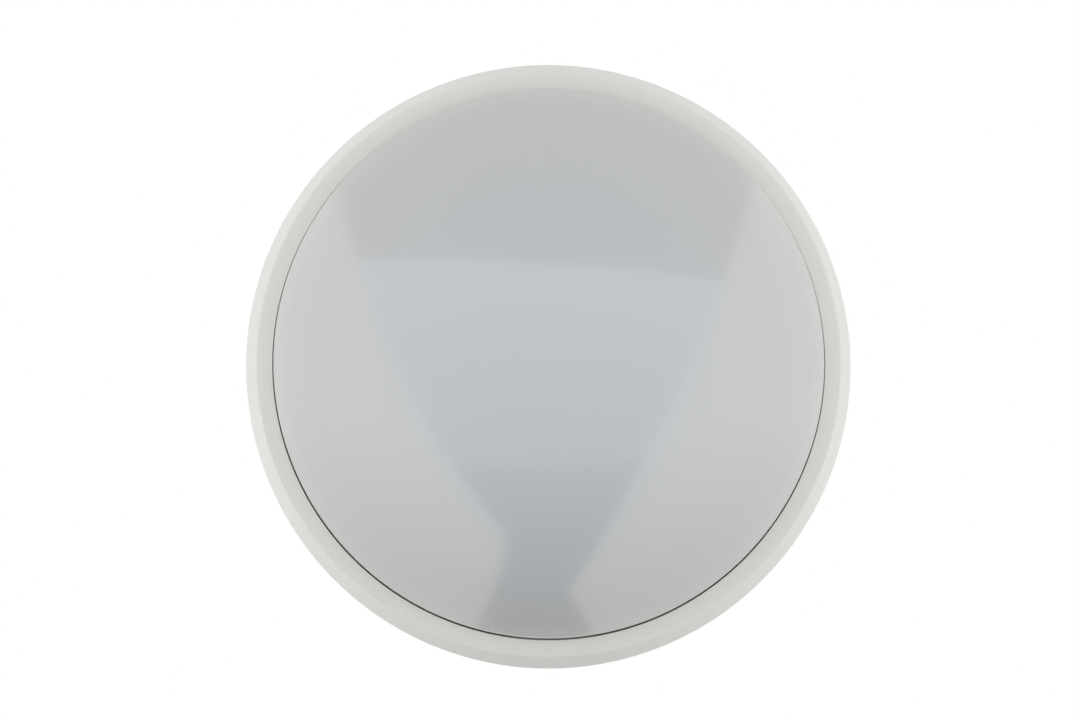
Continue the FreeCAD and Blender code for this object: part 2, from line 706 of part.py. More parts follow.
def cable_grommet():
    """Rubber grommet whose groove grips the edge of the cable entry."""
    neck = ENTRY_HOLE_RADIUS - GROMMET_FIT
    flange = ENTRY_HOLE_RADIUS + GROMMET_FLANGE
    seat_front = ENTRY_RECESS_DEPTH + BACK_WALL
    flange_front = seat_front + GROMMET_FLANGE_WALL
    nose = GROMMET_BORE_RADIUS + GROMMET_NOSE_WALL
    soft = 0.3 * GROMMET_FLANGE_WALL
    body = spin(
        outline(
            [
                (GROMMET_BORE_RADIUS, ENTRY_RECESS_DEPTH - GROMMET_FLANGE_WALL, 0),
                (flange, ENTRY_RECESS_DEPTH - GROMMET_FLANGE_WALL, soft),
                (flange, ENTRY_RECESS_DEPTH, 0),
                (neck, ENTRY_RECESS_DEPTH, 0),
                (neck, seat_front, 0),
                (flange, seat_front, 0),
                (flange, flange_front, soft),
                (nose + GROMMET_NOSE_WALL / 2, flange_front, 0),
                (nose, flange_front + GROMMET_NOSE_LENGTH, soft),
                (GROMMET_BORE_RADIUS, flange_front + GROMMET_NOSE_LENGTH, 0),
            ]
        )
    )
    body.translate(spot(ENTRY_PLACE, 0))
    return body


# Gear tray and LED board
def gear_tray():
    plate = ring(BUSH_RADIUS, tray_radius, TRAY_DEPTH, tray_front)
    rim = ring(tray_radius - TRAY_WALL, tray_radius, TRAY_DEPTH - TRAY_RIM, tray_front)
    rear = TRAY_DEPTH - OVERCUT
    front = tray_front + OVERCUT
    holes = [rod(place, POST_BORE_RADIUS + PASS_FIT, rear, front) for place in post_places()]
    holes += [rod(place, BOARD_SCREW_RADIUS + SCREW_FIT, rear, front) for place in board_screw_places()]
    holes.append(rod(earth_place(), EARTH_SCREW_RADIUS + SCREW_FIT, rear, front))
    return plate.fuse(rim).cut(holes).removeSplitter()


def tray_screws():
    tip = TRAY_DEPTH - 0.8 * POST_BORE_LENGTH
    seat = tray_front + WASHER_WALL
    shank = POST_BORE_RADIUS - SCREW_FIT
    screws = [
        pan_screw(place, shank, tip, seat, TRAY_HEAD_RADIUS, TRAY_HEAD_HEIGHT) for place in post_places()
    ]
    return Part.makeCompound(screws)


def tray_washers():
    washers = []
    for place in post_places():
        disc = rod(place, WASHER_RADIUS, tray_front, tray_front + WASHER_WALL)
        hole = rod(place, POST_BORE_RADIUS + PASS_FIT, tray_front - OVERCUT, board_front + OVERCUT)
        washers.append(disc.cut(hole))
    return Part.makeCompound(washers)


def board_screw_places():
    return pattern(BOARD_SCREW_COUNT, board_screw_radius, 180.0 / BOARD_SCREW_COUNT)


def led_board():
    disc = ring(board_bore_radius, board_radius, tray_front, board_front)
    rear = tray_front - OVERCUT
    front = board_front + OVERCUT
    holes = [rod(place, BOARD_SCREW_RADIUS + PASS_FIT, rear, front) for place in board_screw_places()]
    return disc.cut(holes)


def board_screws():
    tip = TRAY_DEPTH - BOARD_SCREW_TIP
    screws = [
        pan_screw(place, BOARD_SCREW_RADIUS, tip, board_front, BOARD_HEAD_RADIUS, BOARD_HEAD_HEIGHT)
        for place in board_screw_places()
    ]
    return Part.makeCompound(screws)


def on_led_places(shape_at_angle_zero):
    """A copy of a shape for each LED, for a function that makes it at a radius."""
    copies = []
    for share, count in LED_RINGS:
        first = shape_at_angle_zero(share * board_radius)
        copies += [turned(first, a) for a in even_angles(count, 90.0 + 180.0 / count)]
    return Part.makeCompound(copies)


def led_package(radius):
    body = block((radius, 0), LED_WIDTH, LED_LENGTH, board_front, board_front + LED_HEIGHT)
    cup_rear = board_front + LED_HEIGHT - LED_CUP_DEPTH
    return body.cut(rod((radius, 0), LED_CUP_RADIUS, cup_rear, board_front + LED_HEIGHT + OVERCUT))


def led_phosphor(radius):
    front = board_front + LED_HEIGHT
    return rod((radius, 0), LED_CUP_RADIUS, front - LED_CUP_DEPTH, front)


def lead_bush():
    flange = BUSH_RADIUS + BUSH_FLANGE
    rear = TRAY_DEPTH - BUSH_FLANGE_WALL
    front = tray_front + BUSH_FLANGE_WALL
    soft = 0.3 * BUSH_FLANGE_WALL
    return spin(
        outline(
            [
                (BUSH_BORE_RADIUS, rear, soft),
                (flange, rear, soft),
                (flange, TRAY_DEPTH, 0),
                (BUSH_RADIUS, TRAY_DEPTH, 0),
                (BUSH_RADIUS, tray_front, 0),
                (flange, tray_front, 0),
                (flange, front, soft),
                (BUSH_BORE_RADIUS, front, soft),
            ]
        )
    )


def connector_near():
    """Height of the connector's lower side, where the LED leads go in."""
    return board_bore_radius + CONNECTOR_GAP


def connector_lead_depth():
    return board_front + CONNECTOR_HEIGHT / 2


def board_connector():
    middle = (0, connector_near() + CONNECTOR_LENGTH / 2)
    body = block(middle, CONNECTOR_WIDTH, CONNECTOR_LENGTH, board_front, board_front + CONNECTOR_HEIGHT)
    crown = [e for e in body.Edges if abs(e.CenterOfMass.y + board_front + CONNECTOR_HEIGHT) < 1e-6]
    body = body.makeFillet(0.1 * CONNECTOR_HEIGHT, crown)
    for side in (-1, 1):
        mouth = Vector(side * CONNECTOR_PITCH / 2, -connector_lead_depth(), connector_near() - OVERCUT)
        length = CONNECTOR_BORE_LENGTH + OVERCUT
        body = body.cut(Part.makeCylinder(LED_LEAD / 2 + LEAD_FIT, length, mouth, Vector(0, 0, 1)))
    return body


# LED driver
def driver_screw_places():
    reach = (DRIVER_LENGTH + DRIVER_EAR_LENGTH) / 2
    return [beside(DRIVER_PLACE, side * reach, 0) for side in (-1, 1)]


def driver_lead_height(side):
    """Height of a driver lead: side 1 is the upper one, -1 the lower one."""
    return DRIVER_PLACE[1] + side * DRIVER_LEAD_PITCH / 2


def driver_lead_holes():
    holes = []
    for end in (-1, 1):
        for side in (-1, 1):
            x = DRIVER_PLACE[0] + end * (DRIVER_LENGTH / 2 - 2 * DRIVER_WALL)
            start = Vector(x, -LEAD_DEPTH, driver_lead_height(side))
            radius = MAINS_LEAD / 2 + LEAD_FIT
            holes.append(Part.makeCylinder(radius, 4 * DRIVER_WALL, start, Vector(end, 0, 0)))
    return holes


def driver_standoff_places():
    dx = DRIVER_LENGTH / 2 - DRIVER_WALL - 2 * DRIVER_STANDOFF_RADIUS
    dz = DRIVER_WIDTH / 2 - DRIVER_WALL - 2 * DRIVER_STANDOFF_RADIUS
    return [beside(DRIVER_PLACE, sx * dx, sz * dz) for sx in (-1, 1) for sz in (-1, 1)]


def driver_case():
    shell = block(DRIVER_PLACE, DRIVER_LENGTH, DRIVER_WIDTH, BACK_WALL, driver_case_front)
    room = block(
        DRIVER_PLACE,
        DRIVER_LENGTH - 2 * DRIVER_WALL,
        DRIVER_WIDTH - 2 * DRIVER_WALL,
        BACK_WALL + DRIVER_WALL,
        driver_case_front + OVERCUT,
    )
    shell = shell.cut(room)
    ears = []
    holes = driver_lead_holes()
    for place in driver_screw_places():
        ears.append(block(place, DRIVER_EAR_LENGTH, DRIVER_EAR_WIDTH, ear_rear, ear_front))
        holes.append(rod(place, DRIVER_SCREW_RADIUS + PASS_FIT, ear_rear - OVERCUT, ear_front + OVERCUT))
    floor = BACK_WALL + DRIVER_WALL / 2
    standoffs = [
        rod(place, DRIVER_STANDOFF_RADIUS, floor, driver_board_rear) for place in driver_standoff_places()
    ]
    return shell.fuse(ears + standoffs).cut(holes).removeSplitter()


def driver_lid():
    lid = block(DRIVER_PLACE, DRIVER_LENGTH, DRIVER_WIDTH, driver_case_front, driver_lid_front)
    crown = [e for e in lid.Edges if abs(e.CenterOfMass.y + driver_lid_front) < 1e-6]
    lid = lid.makeFillet(0.6 * DRIVER_WALL, crown)
    room = block(
        DRIVER_PLACE,
        DRIVER_LENGTH - 2 * DRIVER_WALL,
        DRIVER_WIDTH - 2 * DRIVER_WALL,
        driver_case_front - OVERCUT,
        driver_lid_front - DRIVER_WALL,
    )
    return lid.cut(room)


def driver_board():
    return block(DRIVER_PLACE, driver_board_length, driver_board_width, driver_board_rear, driver_board_front)


def core_window(fit):
    """The space round the transformer core's middle limb, less a fit."""
    yoke = CORE_LIMB / 2 + fit
    depths = (driver_board_front + yoke, driver_board_front + CORE_HEIGHT - yoke)
    outer = block(DRIVER_PLACE, CORE_LENGTH - CORE_LIMB - 2 * fit, CORE_WIDTH, *depths)
    limb = block(DRIVER_PLACE, CORE_LIMB + 2 * fit, CORE_WIDTH, *depths)
    return outer.cut(limb)


def transformer_core():
    solid = block(DRIVER_PLACE, CORE_LENGTH, CORE_WIDTH, driver_board_front, driver_board_front + CORE_HEIGHT)
    return solid.cut(core_window(0))


def transformer_winding():
    return Part.makeCompound(core_window(WINDING_FIT).Solids)


def driver_capacitors():
    """Two cans that lie on the driver board, each with a crimp groove near its end."""
    cans = []
    axis_depth = driver_board_front + CAPACITOR_RADIUS
    rim_x = DRIVER_PLACE[0] + driver_board_length / 2 - CAPACITOR_INSET - CAPACITOR_LENGTH
    for side in (-1, 1):
        height = DRIVER_PLACE[1] + side * CAPACITOR_PITCH / 2
        start = Vector(rim_x, -axis_depth, height)
        can = Part.makeCylinder(CAPACITOR_RADIUS, CAPACITOR_LENGTH, start, Vector(1, 0, 0))
        groove = start + Vector(0.12 * CAPACITOR_LENGTH, 0, 0)
        crimp = Part.makeTorus(CAPACITOR_RADIUS, 0.1 * CAPACITOR_RADIUS, groove, Vector(1, 0, 0))
        cans.append(can.cut(crimp))
    return Part.makeCompound(cans)


def driver_choke():
    place = beside(DRIVER_PLACE, CHOKE_INSET + CHOKE_RADIUS - driver_board_length / 2, 0)
    front = driver_board_front + CHOKE_HEIGHT
    core = rod(place, CHOKE_RADIUS, driver_board_front, front)
    return core.cut(rod(place, CHOKE_BORE_RADIUS, driver_board_front - OVERCUT, front + OVERCUT))


def driver_screws():
    tip = BACK_WALL / 2 + DRIVER_HEAD_HEIGHT
    screws = [
        pan_screw(place, DRIVER_SCREW_RADIUS, tip, ear_front, DRIVER_HEAD_RADIUS, DRIVER_HEAD_HEIGHT)
        for place in driver_screw_places()
    ]
    return Part.makeCompound(screws)


# Terminal block
def terminal_length():
    return (TERMINAL_POLES - 1) * TERMINAL_PITCH + 2 * (CLAMP_RADIUS + CLAMP_FIT + TERMINAL_END)


def pole_x(pole):
    return TERMINAL_PLACE[0] + (pole - (TERMINAL_POLES - 1) / 2) * TERMINAL_PITCH


def terminal_screw_places():
    return [(pole_x(pole) + TERMINAL_PITCH / 2, TERMINAL_PLACE[1]) for pole in range(TERMINAL_POLES - 1)]


def pole_bore(pole, radius, length):
    start = Vector(pole_x(pole), -LEAD_DEPTH, TERMINAL_PLACE[1] - length / 2)
    return Part.makeCylinder(radius, length, start, Vector(0, 0, 1))


def grub_places():
    offset = TERMINAL_WIDTH / 2 - GRUB_INSET
    heights = [TERMINAL_PLACE[1] + side * offset for side in (-1, 1)]
    return [(pole_x(pole), height) for pole in range(TERMINAL_POLES) for height in heights]


def terminal_block():
    body = block(TERMINAL_PLACE, terminal_length(), TERMINAL_WIDTH, terminal_rear, terminal_front)
    crown = [e for e in body.Edges if abs(e.CenterOfMass.y + terminal_front) < 1e-6]
    body = body.makeFillet(0.1 * TERMINAL_HEIGHT, crown)
    length = TERMINAL_WIDTH + 2 * OVERCUT
    front = terminal_front + OVERCUT
    cuts = [pole_bore(pole, CLAMP_RADIUS + CLAMP_FIT, length) for pole in range(TERMINAL_POLES)]
    cuts += [rod(place, GRUB_RADIUS + GRUB_WELL_FIT, LEAD_DEPTH, front) for place in grub_places()]
    sink = terminal_front - TERMINAL_HEAD_SINK
    for place in terminal_screw_places():
        cuts.append(rod(place, TERMINAL_SCREW_RADIUS + SCREW_FIT, terminal_rear - OVERCUT, front))
        cuts.append(rod(place, TERMINAL_HEAD_RADIUS + LEAD_FIT, sink, front))
    return body.cut(cuts)


def terminal_clamps():
    length = TERMINAL_WIDTH - 2 * CLAMP_INSET
    clamps = []
    for pole in range(TERMINAL_POLES):
        bore = pole_bore(pole, CLAMP_BORE_RADIUS, length + 2 * OVERCUT)
        clamps.append(pole_bore(pole, CLAMP_RADIUS, length).cut(bore))
    holes = [rod(place, GRUB_RADIUS + SCREW_FIT, LEAD_DEPTH, terminal_front) for place in grub_places()]
    return Part.makeCompound([clamp.cut(holes) for clamp in clamps])


def terminal_grubs():
    tip = LEAD_DEPTH + MAINS_LEAD / 2 + LEAD_FIT
    front = tip + GRUB_LENGTH
    grubs = []
    for place in grub_places():
        slot = block(place, 3 * GRUB_RADIUS, CROSS_SLOT, front - CROSS_DEPTH, front + OVERCUT)
        grubs.append(rod(place, GRUB_RADIUS, tip, front).cut(slot))
    return Part.makeCompound(grubs)


def terminal_screws():
    seat = terminal_front - TERMINAL_HEAD_SINK
    tip = BACK_WALL / 2 + CROSS_DEPTH / 2
    screws = [
        pan_screw(place, TERMINAL_SCREW_RADIUS, tip, seat, TERMINAL_HEAD_RADIUS, TERMINAL_HEAD_HEIGHT)
        for place in terminal_screw_places()
    ]
    return Part.makeCompound(screws)


# Leads
def driver_tail(end, side):
    """Where a lead ends inside the driver, and where it leaves the driver's end."""
    wall = DRIVER_PLACE[0] + end * DRIVER_LENGTH / 2
    height = driver_lead_height(side)
    return [spot((wall + way * end * LEAD_TAIL, height), LEAD_DEPTH) for way in (-1, 1)]


def pole_entry(pole):
    """Where a lead turns down into a terminal pole, and where it ends in the clamp."""
    face = TERMINAL_PLACE[1] + TERMINAL_WIDTH / 2
    above = spot((pole_x(pole), face + 2 * LEAD_GRIP), LEAD_DEPTH)
    return [above, spot((pole_x(pole), face - CLAMP_INSET - LEAD_GRIP), LEAD_DEPTH)]


def swing(start, end, bow, shares):
    """Places on a lead's way: shares of a bow along X, of the way along X and of the way along Z."""
    way = end - start
    return [
        spot((start.x + bow * out + way.x * across, start.z + way.z * along), LEAD_DEPTH)
        for out, across, along in shares
    ]


def mains_lead(side, pole, bow, shares, name):
    """A lead from the driver's left end to a terminal pole."""
    tail = driver_tail(-1, side)
    entry = pole_entry(pole)
    return lead(tail + swing(tail[-1], entry[0], -bow, shares) + entry, MAINS_LEAD, name)


def neutral_lead():
    shares = ((0.67, 0, 0.10), (1, 0, 0.34), (0.91, 0, 0.63), (0.36, 0, 0.82), (0, 0.36, 0.87))
    return mains_lead(1, 0, NEUTRAL_BOW, shares, "neutral lead")


def live_lead():
    shares = ((0.60, 0, 0.09), (1, 0, 0.31), (0.80, 0, 0.54), (0.10, 0, 0.66), (0, 0.70, 0.73))
    return mains_lead(-1, 1, LIVE_BOW, shares, "live lead")


def earth_place():
    return pattern(1, earth_radius, EARTH_ANGLE)[0]


def earth_tag_line():
    """Unit vector from the earth point back along its lead."""
    return spot(pattern(1, 1, EARTH_LEAD_ANGLE)[0], 0)


def earth_lead():
    depth = TRAY_DEPTH - TAG_BARREL_RADIUS - LEAD_FIT
    line = earth_tag_line()
    hub = spot(earth_place(), depth)
    last = hub + line * (TAG_BARREL_START + LEAD_FIT)
    straight = hub + line * (TAG_BARREL_START + 3 * TAG_BARREL_LENGTH)
    rise = hub + line * (TAG_BARREL_START + 6 * TAG_BARREL_LENGTH)
    rise.y = -(LEAD_DEPTH + depth) / 2
    entry = pole_entry(2)
    shares = ((0, 0.11, -0.40), (0, 0.32, -0.26), (0, 0.56, 0.09), (0, 0.77, 0.62))
    points = entry[::-1] + swing(entry[0], rise, 0, shares) + [rise, straight, last]
    return lead(points, MAINS_LEAD, "earth lead")


def led_lead(side, bow, climb, shares, name):
    """A lead from the driver, through the bush in the tray, to the connector on the LED board."""
    tail = driver_tail(1, -side)
    depth = connector_lead_depth()
    x = side * CONNECTOR_PITCH / 2
    height = climb * BUSH_BORE_RADIUS
    end = connector_near() + CONNECTOR_BORE_LENGTH - LEAD_FIT
    foot = spot((x, height), LEAD_DEPTH)
    climbing = [foot, spot((x, height), depth), spot((x, end), depth)]
    return lead(tail + swing(tail[-1], foot, bow, shares) + climbing, LED_LEAD, name)


def led_negative_lead():
    shares = ((0.69, 0, 0.16), (1, 0, 0.47), (0.50, 0, 0.74), (0, 0.17, 0.92), (0, 0.59, 1))
    return led_lead(1, NEGATIVE_BOW, NEGATIVE_CLIMB, shares, "negative LED lead")


def led_positive_lead():
    shares = ((0.62, 0, 0.09), (1, 0, 0.35), (1, 0, 0.68), (0.56, 0, 0.91), (0, 0.10, 1.06), (0, 0.54, 1.09))
    return led_lead(-1, POSITIVE_BOW, POSITIVE_CLIMB, shares, "positive LED lead")


# Earth point
def earth_tag():
    front = TRAY_DEPTH
    plate = rod(earth_place(), TAG_RADIUS, front - TAG_WALL, front)
    line = earth_tag_line()
    axis_depth = TRAY_DEPTH - TAG_BARREL_RADIUS - LEAD_FIT
    start = spot(earth_place(), axis_depth) + line * TAG_BARREL_START
    barrel = Part.makeCylinder(TAG_BARREL_RADIUS, TAG_BARREL_LENGTH, start, line)
    neck_length = TAG_BARREL_START + TAG_BARREL_LENGTH / 2
    neck = Part.makeBox(neck_length, TAG_WALL, 2 * TAG_BARREL_RADIUS, Vector(0, 0, -TAG_BARREL_RADIUS))
    neck = turned(neck, EARTH_LEAD_ANGLE)
    neck.translate(spot(earth_place(), front))
    bore = Part.makeCylinder(MAINS_LEAD / 2 + 2 * SCREW_FIT, TAG_BARREL_LENGTH + OVERCUT, start, line)
    hole = rod(earth_place(), EARTH_SCREW_RADIUS + SCREW_FIT, front - TAG_WALL - OVERCUT, front + OVERCUT)
    return plate.fuse([neck, barrel]).cut([bore, hole]).removeSplitter()


def earth_screw():
    tip = TRAY_DEPTH - TAG_WALL - EARTH_NUT_WALL - EARTH_SCREW_END
    return pan_screw(earth_place(), EARTH_SCREW_RADIUS, tip, tray_front, EARTH_HEAD_RADIUS, EARTH_HEAD_HEIGHT)


def earth_nut():
    front = TRAY_DEPTH - TAG_WALL
    across_corners = EARTH_NUT_FLATS / math.cos(math.pi / 6)
    corners = [beside(earth_place(), *place) for place in pattern(6, across_corners / 2)]
    loop = [spot(corner, front - EARTH_NUT_WALL) for corner in corners]
    hexagon = Part.Face(Part.makePolygon(loop + loop[:1])).extrude(AXIS * EARTH_NUT_WALL)
    return hexagon.cut(rod(earth_place(), EARTH_SCREW_RADIUS + SCREW_FIT, 0, front + OVERCUT))


PARTS = {
    "trim_ring": trim_ring,
    "trim_clips": trim_clips,
    "diffuser": diffuser,
    "base_pan": base_pan,
    "seal_gasket": seal_gasket,
    "fixing_seals": fixing_seals,
    "cable_grommet": cable_grommet,
    "gear_tray": gear_tray,
    "tray_screws": tray_screws,
    "tray_washers": tray_washers,
    "led_board": led_board,
    "board_screws": board_screws,
    "led_packages": lambda: on_led_places(led_package),
    "led_phosphors": lambda: on_led_places(led_phosphor),
    "lead_bush": lead_bush,
    "board_connector": board_connector,
    "driver_case": driver_case,
    "driver_lid": driver_lid,
    "driver_board": driver_board,
    "driver_screws": driver_screws,
    "transformer_core": transformer_core,
    "transformer_winding": transformer_winding,
    "driver_capacitors": driver_capacitors,
    "driver_choke": driver_choke,
    "terminal_block": terminal_block,
    "terminal_clamps": terminal_clamps,
    "terminal_grubs": terminal_grubs,
    "terminal_screws": terminal_screws,
    "neutral_lead": neutral_lead,
    "live_lead": live_lead,
    "earth_lead": earth_lead,
    "led_negative_lead": led_negative_lead,
    "led_positive_lead": led_positive_lead,
    "earth_tag": earth_tag,
    "earth_screw": earth_screw,
    "earth_nut": earth_nut,
}


def main():
    os.makedirs("parts", exist_ok=True)
    for name, make in PARTS.items():
        shape = make()
        solids = shape.Solids
        sound = all(solid.isValid() and solid.Volume > 0 for solid in solids)
        print(f"{name}: {len(solids)} solids, {shape.Volume:.1f} mm3, {'sound' if sound else 'NOT SOUND'}")
        shape.exportStep(f"parts/{name}.step")


main()
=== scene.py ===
# %% [markdown]
# # A round outdoor wall light
# The solids of this light come from a CAD program and are loaded as a fixed frame. Blender is used
# for the looks: the two pieces that everyone sees, the cover ring and the opal dome, are modelled
# again with smooth surfaces, and every other piece keeps its CAD mesh and gets a finish.

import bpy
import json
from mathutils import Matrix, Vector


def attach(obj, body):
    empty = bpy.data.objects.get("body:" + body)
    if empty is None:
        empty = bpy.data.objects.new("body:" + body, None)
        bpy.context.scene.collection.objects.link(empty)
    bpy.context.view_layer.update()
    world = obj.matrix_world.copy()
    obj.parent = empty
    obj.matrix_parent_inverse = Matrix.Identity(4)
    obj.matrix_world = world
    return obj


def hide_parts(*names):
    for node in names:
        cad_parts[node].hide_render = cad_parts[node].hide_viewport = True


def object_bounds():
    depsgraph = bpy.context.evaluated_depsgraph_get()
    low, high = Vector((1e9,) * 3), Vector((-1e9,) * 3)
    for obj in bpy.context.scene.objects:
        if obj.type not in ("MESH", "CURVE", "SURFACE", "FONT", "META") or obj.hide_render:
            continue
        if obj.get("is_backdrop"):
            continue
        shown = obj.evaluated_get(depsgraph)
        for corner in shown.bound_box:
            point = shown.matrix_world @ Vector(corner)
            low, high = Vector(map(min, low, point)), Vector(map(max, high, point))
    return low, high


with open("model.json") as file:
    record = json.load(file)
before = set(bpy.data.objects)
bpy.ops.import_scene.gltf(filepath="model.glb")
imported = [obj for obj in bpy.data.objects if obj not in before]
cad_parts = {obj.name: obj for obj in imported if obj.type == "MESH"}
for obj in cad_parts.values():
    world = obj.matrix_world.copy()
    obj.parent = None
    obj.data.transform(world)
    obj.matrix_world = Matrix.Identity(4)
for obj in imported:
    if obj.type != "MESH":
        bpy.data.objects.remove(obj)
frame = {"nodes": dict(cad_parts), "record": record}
cad_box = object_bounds()

# %% [markdown]
# ## Units and directions
# The frame is in metres, and this light's drawing is in millimetres, so one factor turns the one
# into the other. The wall is the plane Y = 0 and the light faces -Y, so a depth of 20 mm is Y =
# -0.020.

# %% Imports and units
import json
import math

import bmesh
import bpy
from mathutils import Vector

MM = 0.001


def in_mm(lengths):
    """Lengths in metres as millimetres, rounded for a print."""
    return [round(length / MM, 1) for length in lengths]


for corner in cad_box:
    print("CAD box corner in mm:", in_mm(corner))

# %% [markdown]
# ## Camera
# The photograph was taken with a long lens, almost straight on: 3 degrees below the light's axis
# and a little to its left. In the picture the ring's middle is 8 pixels right of the frame's
# middle and 6 below it. The camera is aimed beside the ring by that much instead of shifting the
# lens, so that other views stay centred.

# %% Camera: where it stands
CAMERA_DISTANCE = 2.0
CAMERA_SIDE = math.radians(-0.5)
CAMERA_HEIGHT = math.radians(-3.25)

camera_place = CAMERA_DISTANCE * Vector(
    (
        math.sin(CAMERA_SIDE) * math.cos(CAMERA_HEIGHT),
        -math.cos(CAMERA_SIDE) * math.cos(CAMERA_HEIGHT),
        math.sin(CAMERA_HEIGHT),
    )
)
print("camera at", [round(value, 3) for value in camera_place], "m")

# %% Camera: its aim and its lens
RING_MIDDLE = Vector((0, -8 * MM, 0))
PIXELS_RIGHT = 8.45
PIXELS_DOWN = 5.6
PICTURE_WIDTH = 1080  # pixels
FOCAL_PIXELS = 4011.6
SENSOR_WIDTH = 36  # mm
NEAREST_SEEN = 0.05

metres_a_pixel = (camera_place - RING_MIDDLE).length / FOCAL_PIXELS
camera_target = RING_MIDDLE + metres_a_pixel * Vector((-PIXELS_RIGHT, 0, PIXELS_DOWN))
camera_turn = (camera_target - camera_place).to_track_quat("-Z", "Y").to_euler()
bpy.ops.object.camera_add(location=camera_place, rotation=camera_turn)
camera = bpy.context.object
camera.name = "camera"
camera.data.sensor_width = SENSOR_WIDTH
camera.data.lens = SENSOR_WIDTH * FOCAL_PIXELS / PICTURE_WIDTH
camera.data.clip_start = NEAREST_SEEN
bpy.context.scene.camera = camera
print("lens:", round(camera.data.lens, 1), "mm")

# %% [markdown]
# ## Colours as written
# The Standard view shows a colour as it is, without a film curve, so a tone that is measured or
# chosen as sRGB can be written down as sRGB. Blender's sockets want linear light, and this helper
# turns the one into the other by the sRGB curve.

# %% View and colour helper
bpy.context.scene.view_settings.view_transform = "Standard"


def srgb(red, green, blue):
    """A colour written in 0 to 255, as linear light with full cover."""
    linear = []
    for value in (red / 255, green / 255, blue / 255):
        linear.append(value / 12.92 if value <= 0.04045 else ((value + 0.055) / 1.055) ** 2.4)
    return (*linear, 1.0)


print("mid grey 128 in linear light:", round(srgb(128, 128, 128)[0], 3))

# %% [markdown]
# ## Turning a piece
# Ring and dome are turned shapes, like work on a lathe. Blender's Spin would do, but a loop that
# is extruded and scaled again and again gives the same rings of faces and needs no seam. A circle
# is added at the first station, and each new station is one extrude, one move along the axis and
# one scale about the axis. With 360 points round, one face spans one degree, so places round the
# light are easy to pick.

# %% Helper: turn a piece from stations
TURN_STEPS = 360


def turn_piece(name, stations):
    """A shell turned round the axis through (radius, depth) stations in mm, left in edit mode."""
    radius, depth = stations[0]
    bpy.ops.object.select_all(action="DESELECT")
    bpy.ops.mesh.primitive_circle_add(
        vertices=TURN_STEPS,
        radius=radius * MM,
        location=(0, -depth * MM, 0),
        rotation=(math.pi / 2, 0, 0),
    )
    piece = bpy.context.object
    piece.name = name
    bpy.ops.object.transform_apply(location=True, rotation=True, scale=True)
    bpy.ops.object.mode_set(mode="EDIT")
    bpy.ops.mesh.select_all(action="SELECT")
    for next_radius, next_depth in stations[1:]:
        forward = {"value": (0, (depth - next_depth) * MM, 0)}
        bpy.ops.mesh.extrude_edges_move(TRANSFORM_OT_translate=forward)
        scale = next_radius / radius
        bpy.ops.transform.resize(value=(scale, 1, scale), center_override=(0, 0, 0))
        radius, depth = next_radius, next_depth
    print(name, "turned through", len(stations), "stations")
    return piece


print("faces round a turned piece:", TURN_STEPS)

# %% Helper: close a turned piece
SAME_PLACE = 0.001  # mm


def close_and_face_out():
    """Joins the points that lie on each other and turns all faces outwards."""
    bpy.ops.mesh.select_all(action="SELECT")
    bpy.ops.mesh.remove_doubles(threshold=SAME_PLACE * MM)
    bpy.ops.mesh.normals_make_consistent(inside=False)


print("points are joined within", SAME_PLACE, "mm")

# %% [markdown]
# ## Opal dome
# The diffuser is one moulding: a straight wall that stands in the gasket, a drafted wall that
# stands proud of the ring, a tight shoulder and a shallow dome. Seen from a little below, the
# proud wall hides the gap to the ring over the top and leaves it as a dark line at the sides and
# below, as in the photograph. The outline is a leaning line, a small arc and a large arc that meet
# without a crease, outside and inside, so the gloss runs over the shoulder without a kink.

# %% Dome: its sizes
DOME_WALL = 2.2
DOME_RADIUS = 135.4
KNEE = 29.0  # where the wall starts to lean in, level with the ring's crest
WALL_STEP = 10.0
WALL_DRAFT = math.radians(4.0)
SHOULDER = 0.8
DOME_RISE = 28.0

wall_slope = math.tan(WALL_DRAFT)
shoulder_reach = DOME_RADIUS - WALL_STEP * wall_slope - SHOULDER * math.cos(WALL_DRAFT)
shoulder_rise = DOME_RISE + SHOULDER * math.sin(WALL_DRAFT)
dome_curve = shoulder_reach**2 + shoulder_rise**2 - SHOULDER**2
dome_curve /= 2 * (shoulder_rise - SHOULDER)
dome_centre = KNEE + WALL_STEP + DOME_RISE - dome_curve
print("radius of the large arc:", round(dome_curve, 1), "mm")

# %% [markdown]
# ## Outline of the dome
# The stations follow the outline from the middle of the inside, round the foot of the wall, to the
# middle of the outside. The lugs of the twist lock will grow out of the wall, so the foot has
# stations where they begin and end. Inside and outside come from one helper, because they are the
# same line with another radius.

# %% Dome: helper for its stations
MIDDLE_RADIUS = 1.5  # where the open middle is merged


def dome_stations(wall, curve, shoulder, shoulder_steps, crown_steps):
    """Stations from the knee of a wall, round its shoulder, to near the middle of its dome."""
    offset = wall - shoulder / math.cos(WALL_DRAFT) + (KNEE - dome_centre) * wall_slope
    span = 1 + wall_slope**2
    ahead = (offset * wall_slope + math.sqrt((curve - shoulder) ** 2 * span - offset**2)) / span
    reach = offset - ahead * wall_slope
    lean = math.atan2(ahead, reach)
    last = math.acos(MIDDLE_RADIUS / curve)
    stations = [(wall, KNEE)]
    for i in range(shoulder_steps):
        angle = WALL_DRAFT + (lean - WALL_DRAFT) * i / shoulder_steps
        depth = dome_centre + ahead + shoulder * math.sin(angle)
        stations.append((reach + shoulder * math.cos(angle), depth))
    for i in range(crown_steps + 1):
        angle = lean + (last - lean) * i / crown_steps
        stations.append((curve * math.cos(angle), dome_centre + curve * math.sin(angle)))
    return stations


print("dome middles are left open to a radius of", MIDDLE_RADIUS, "mm")

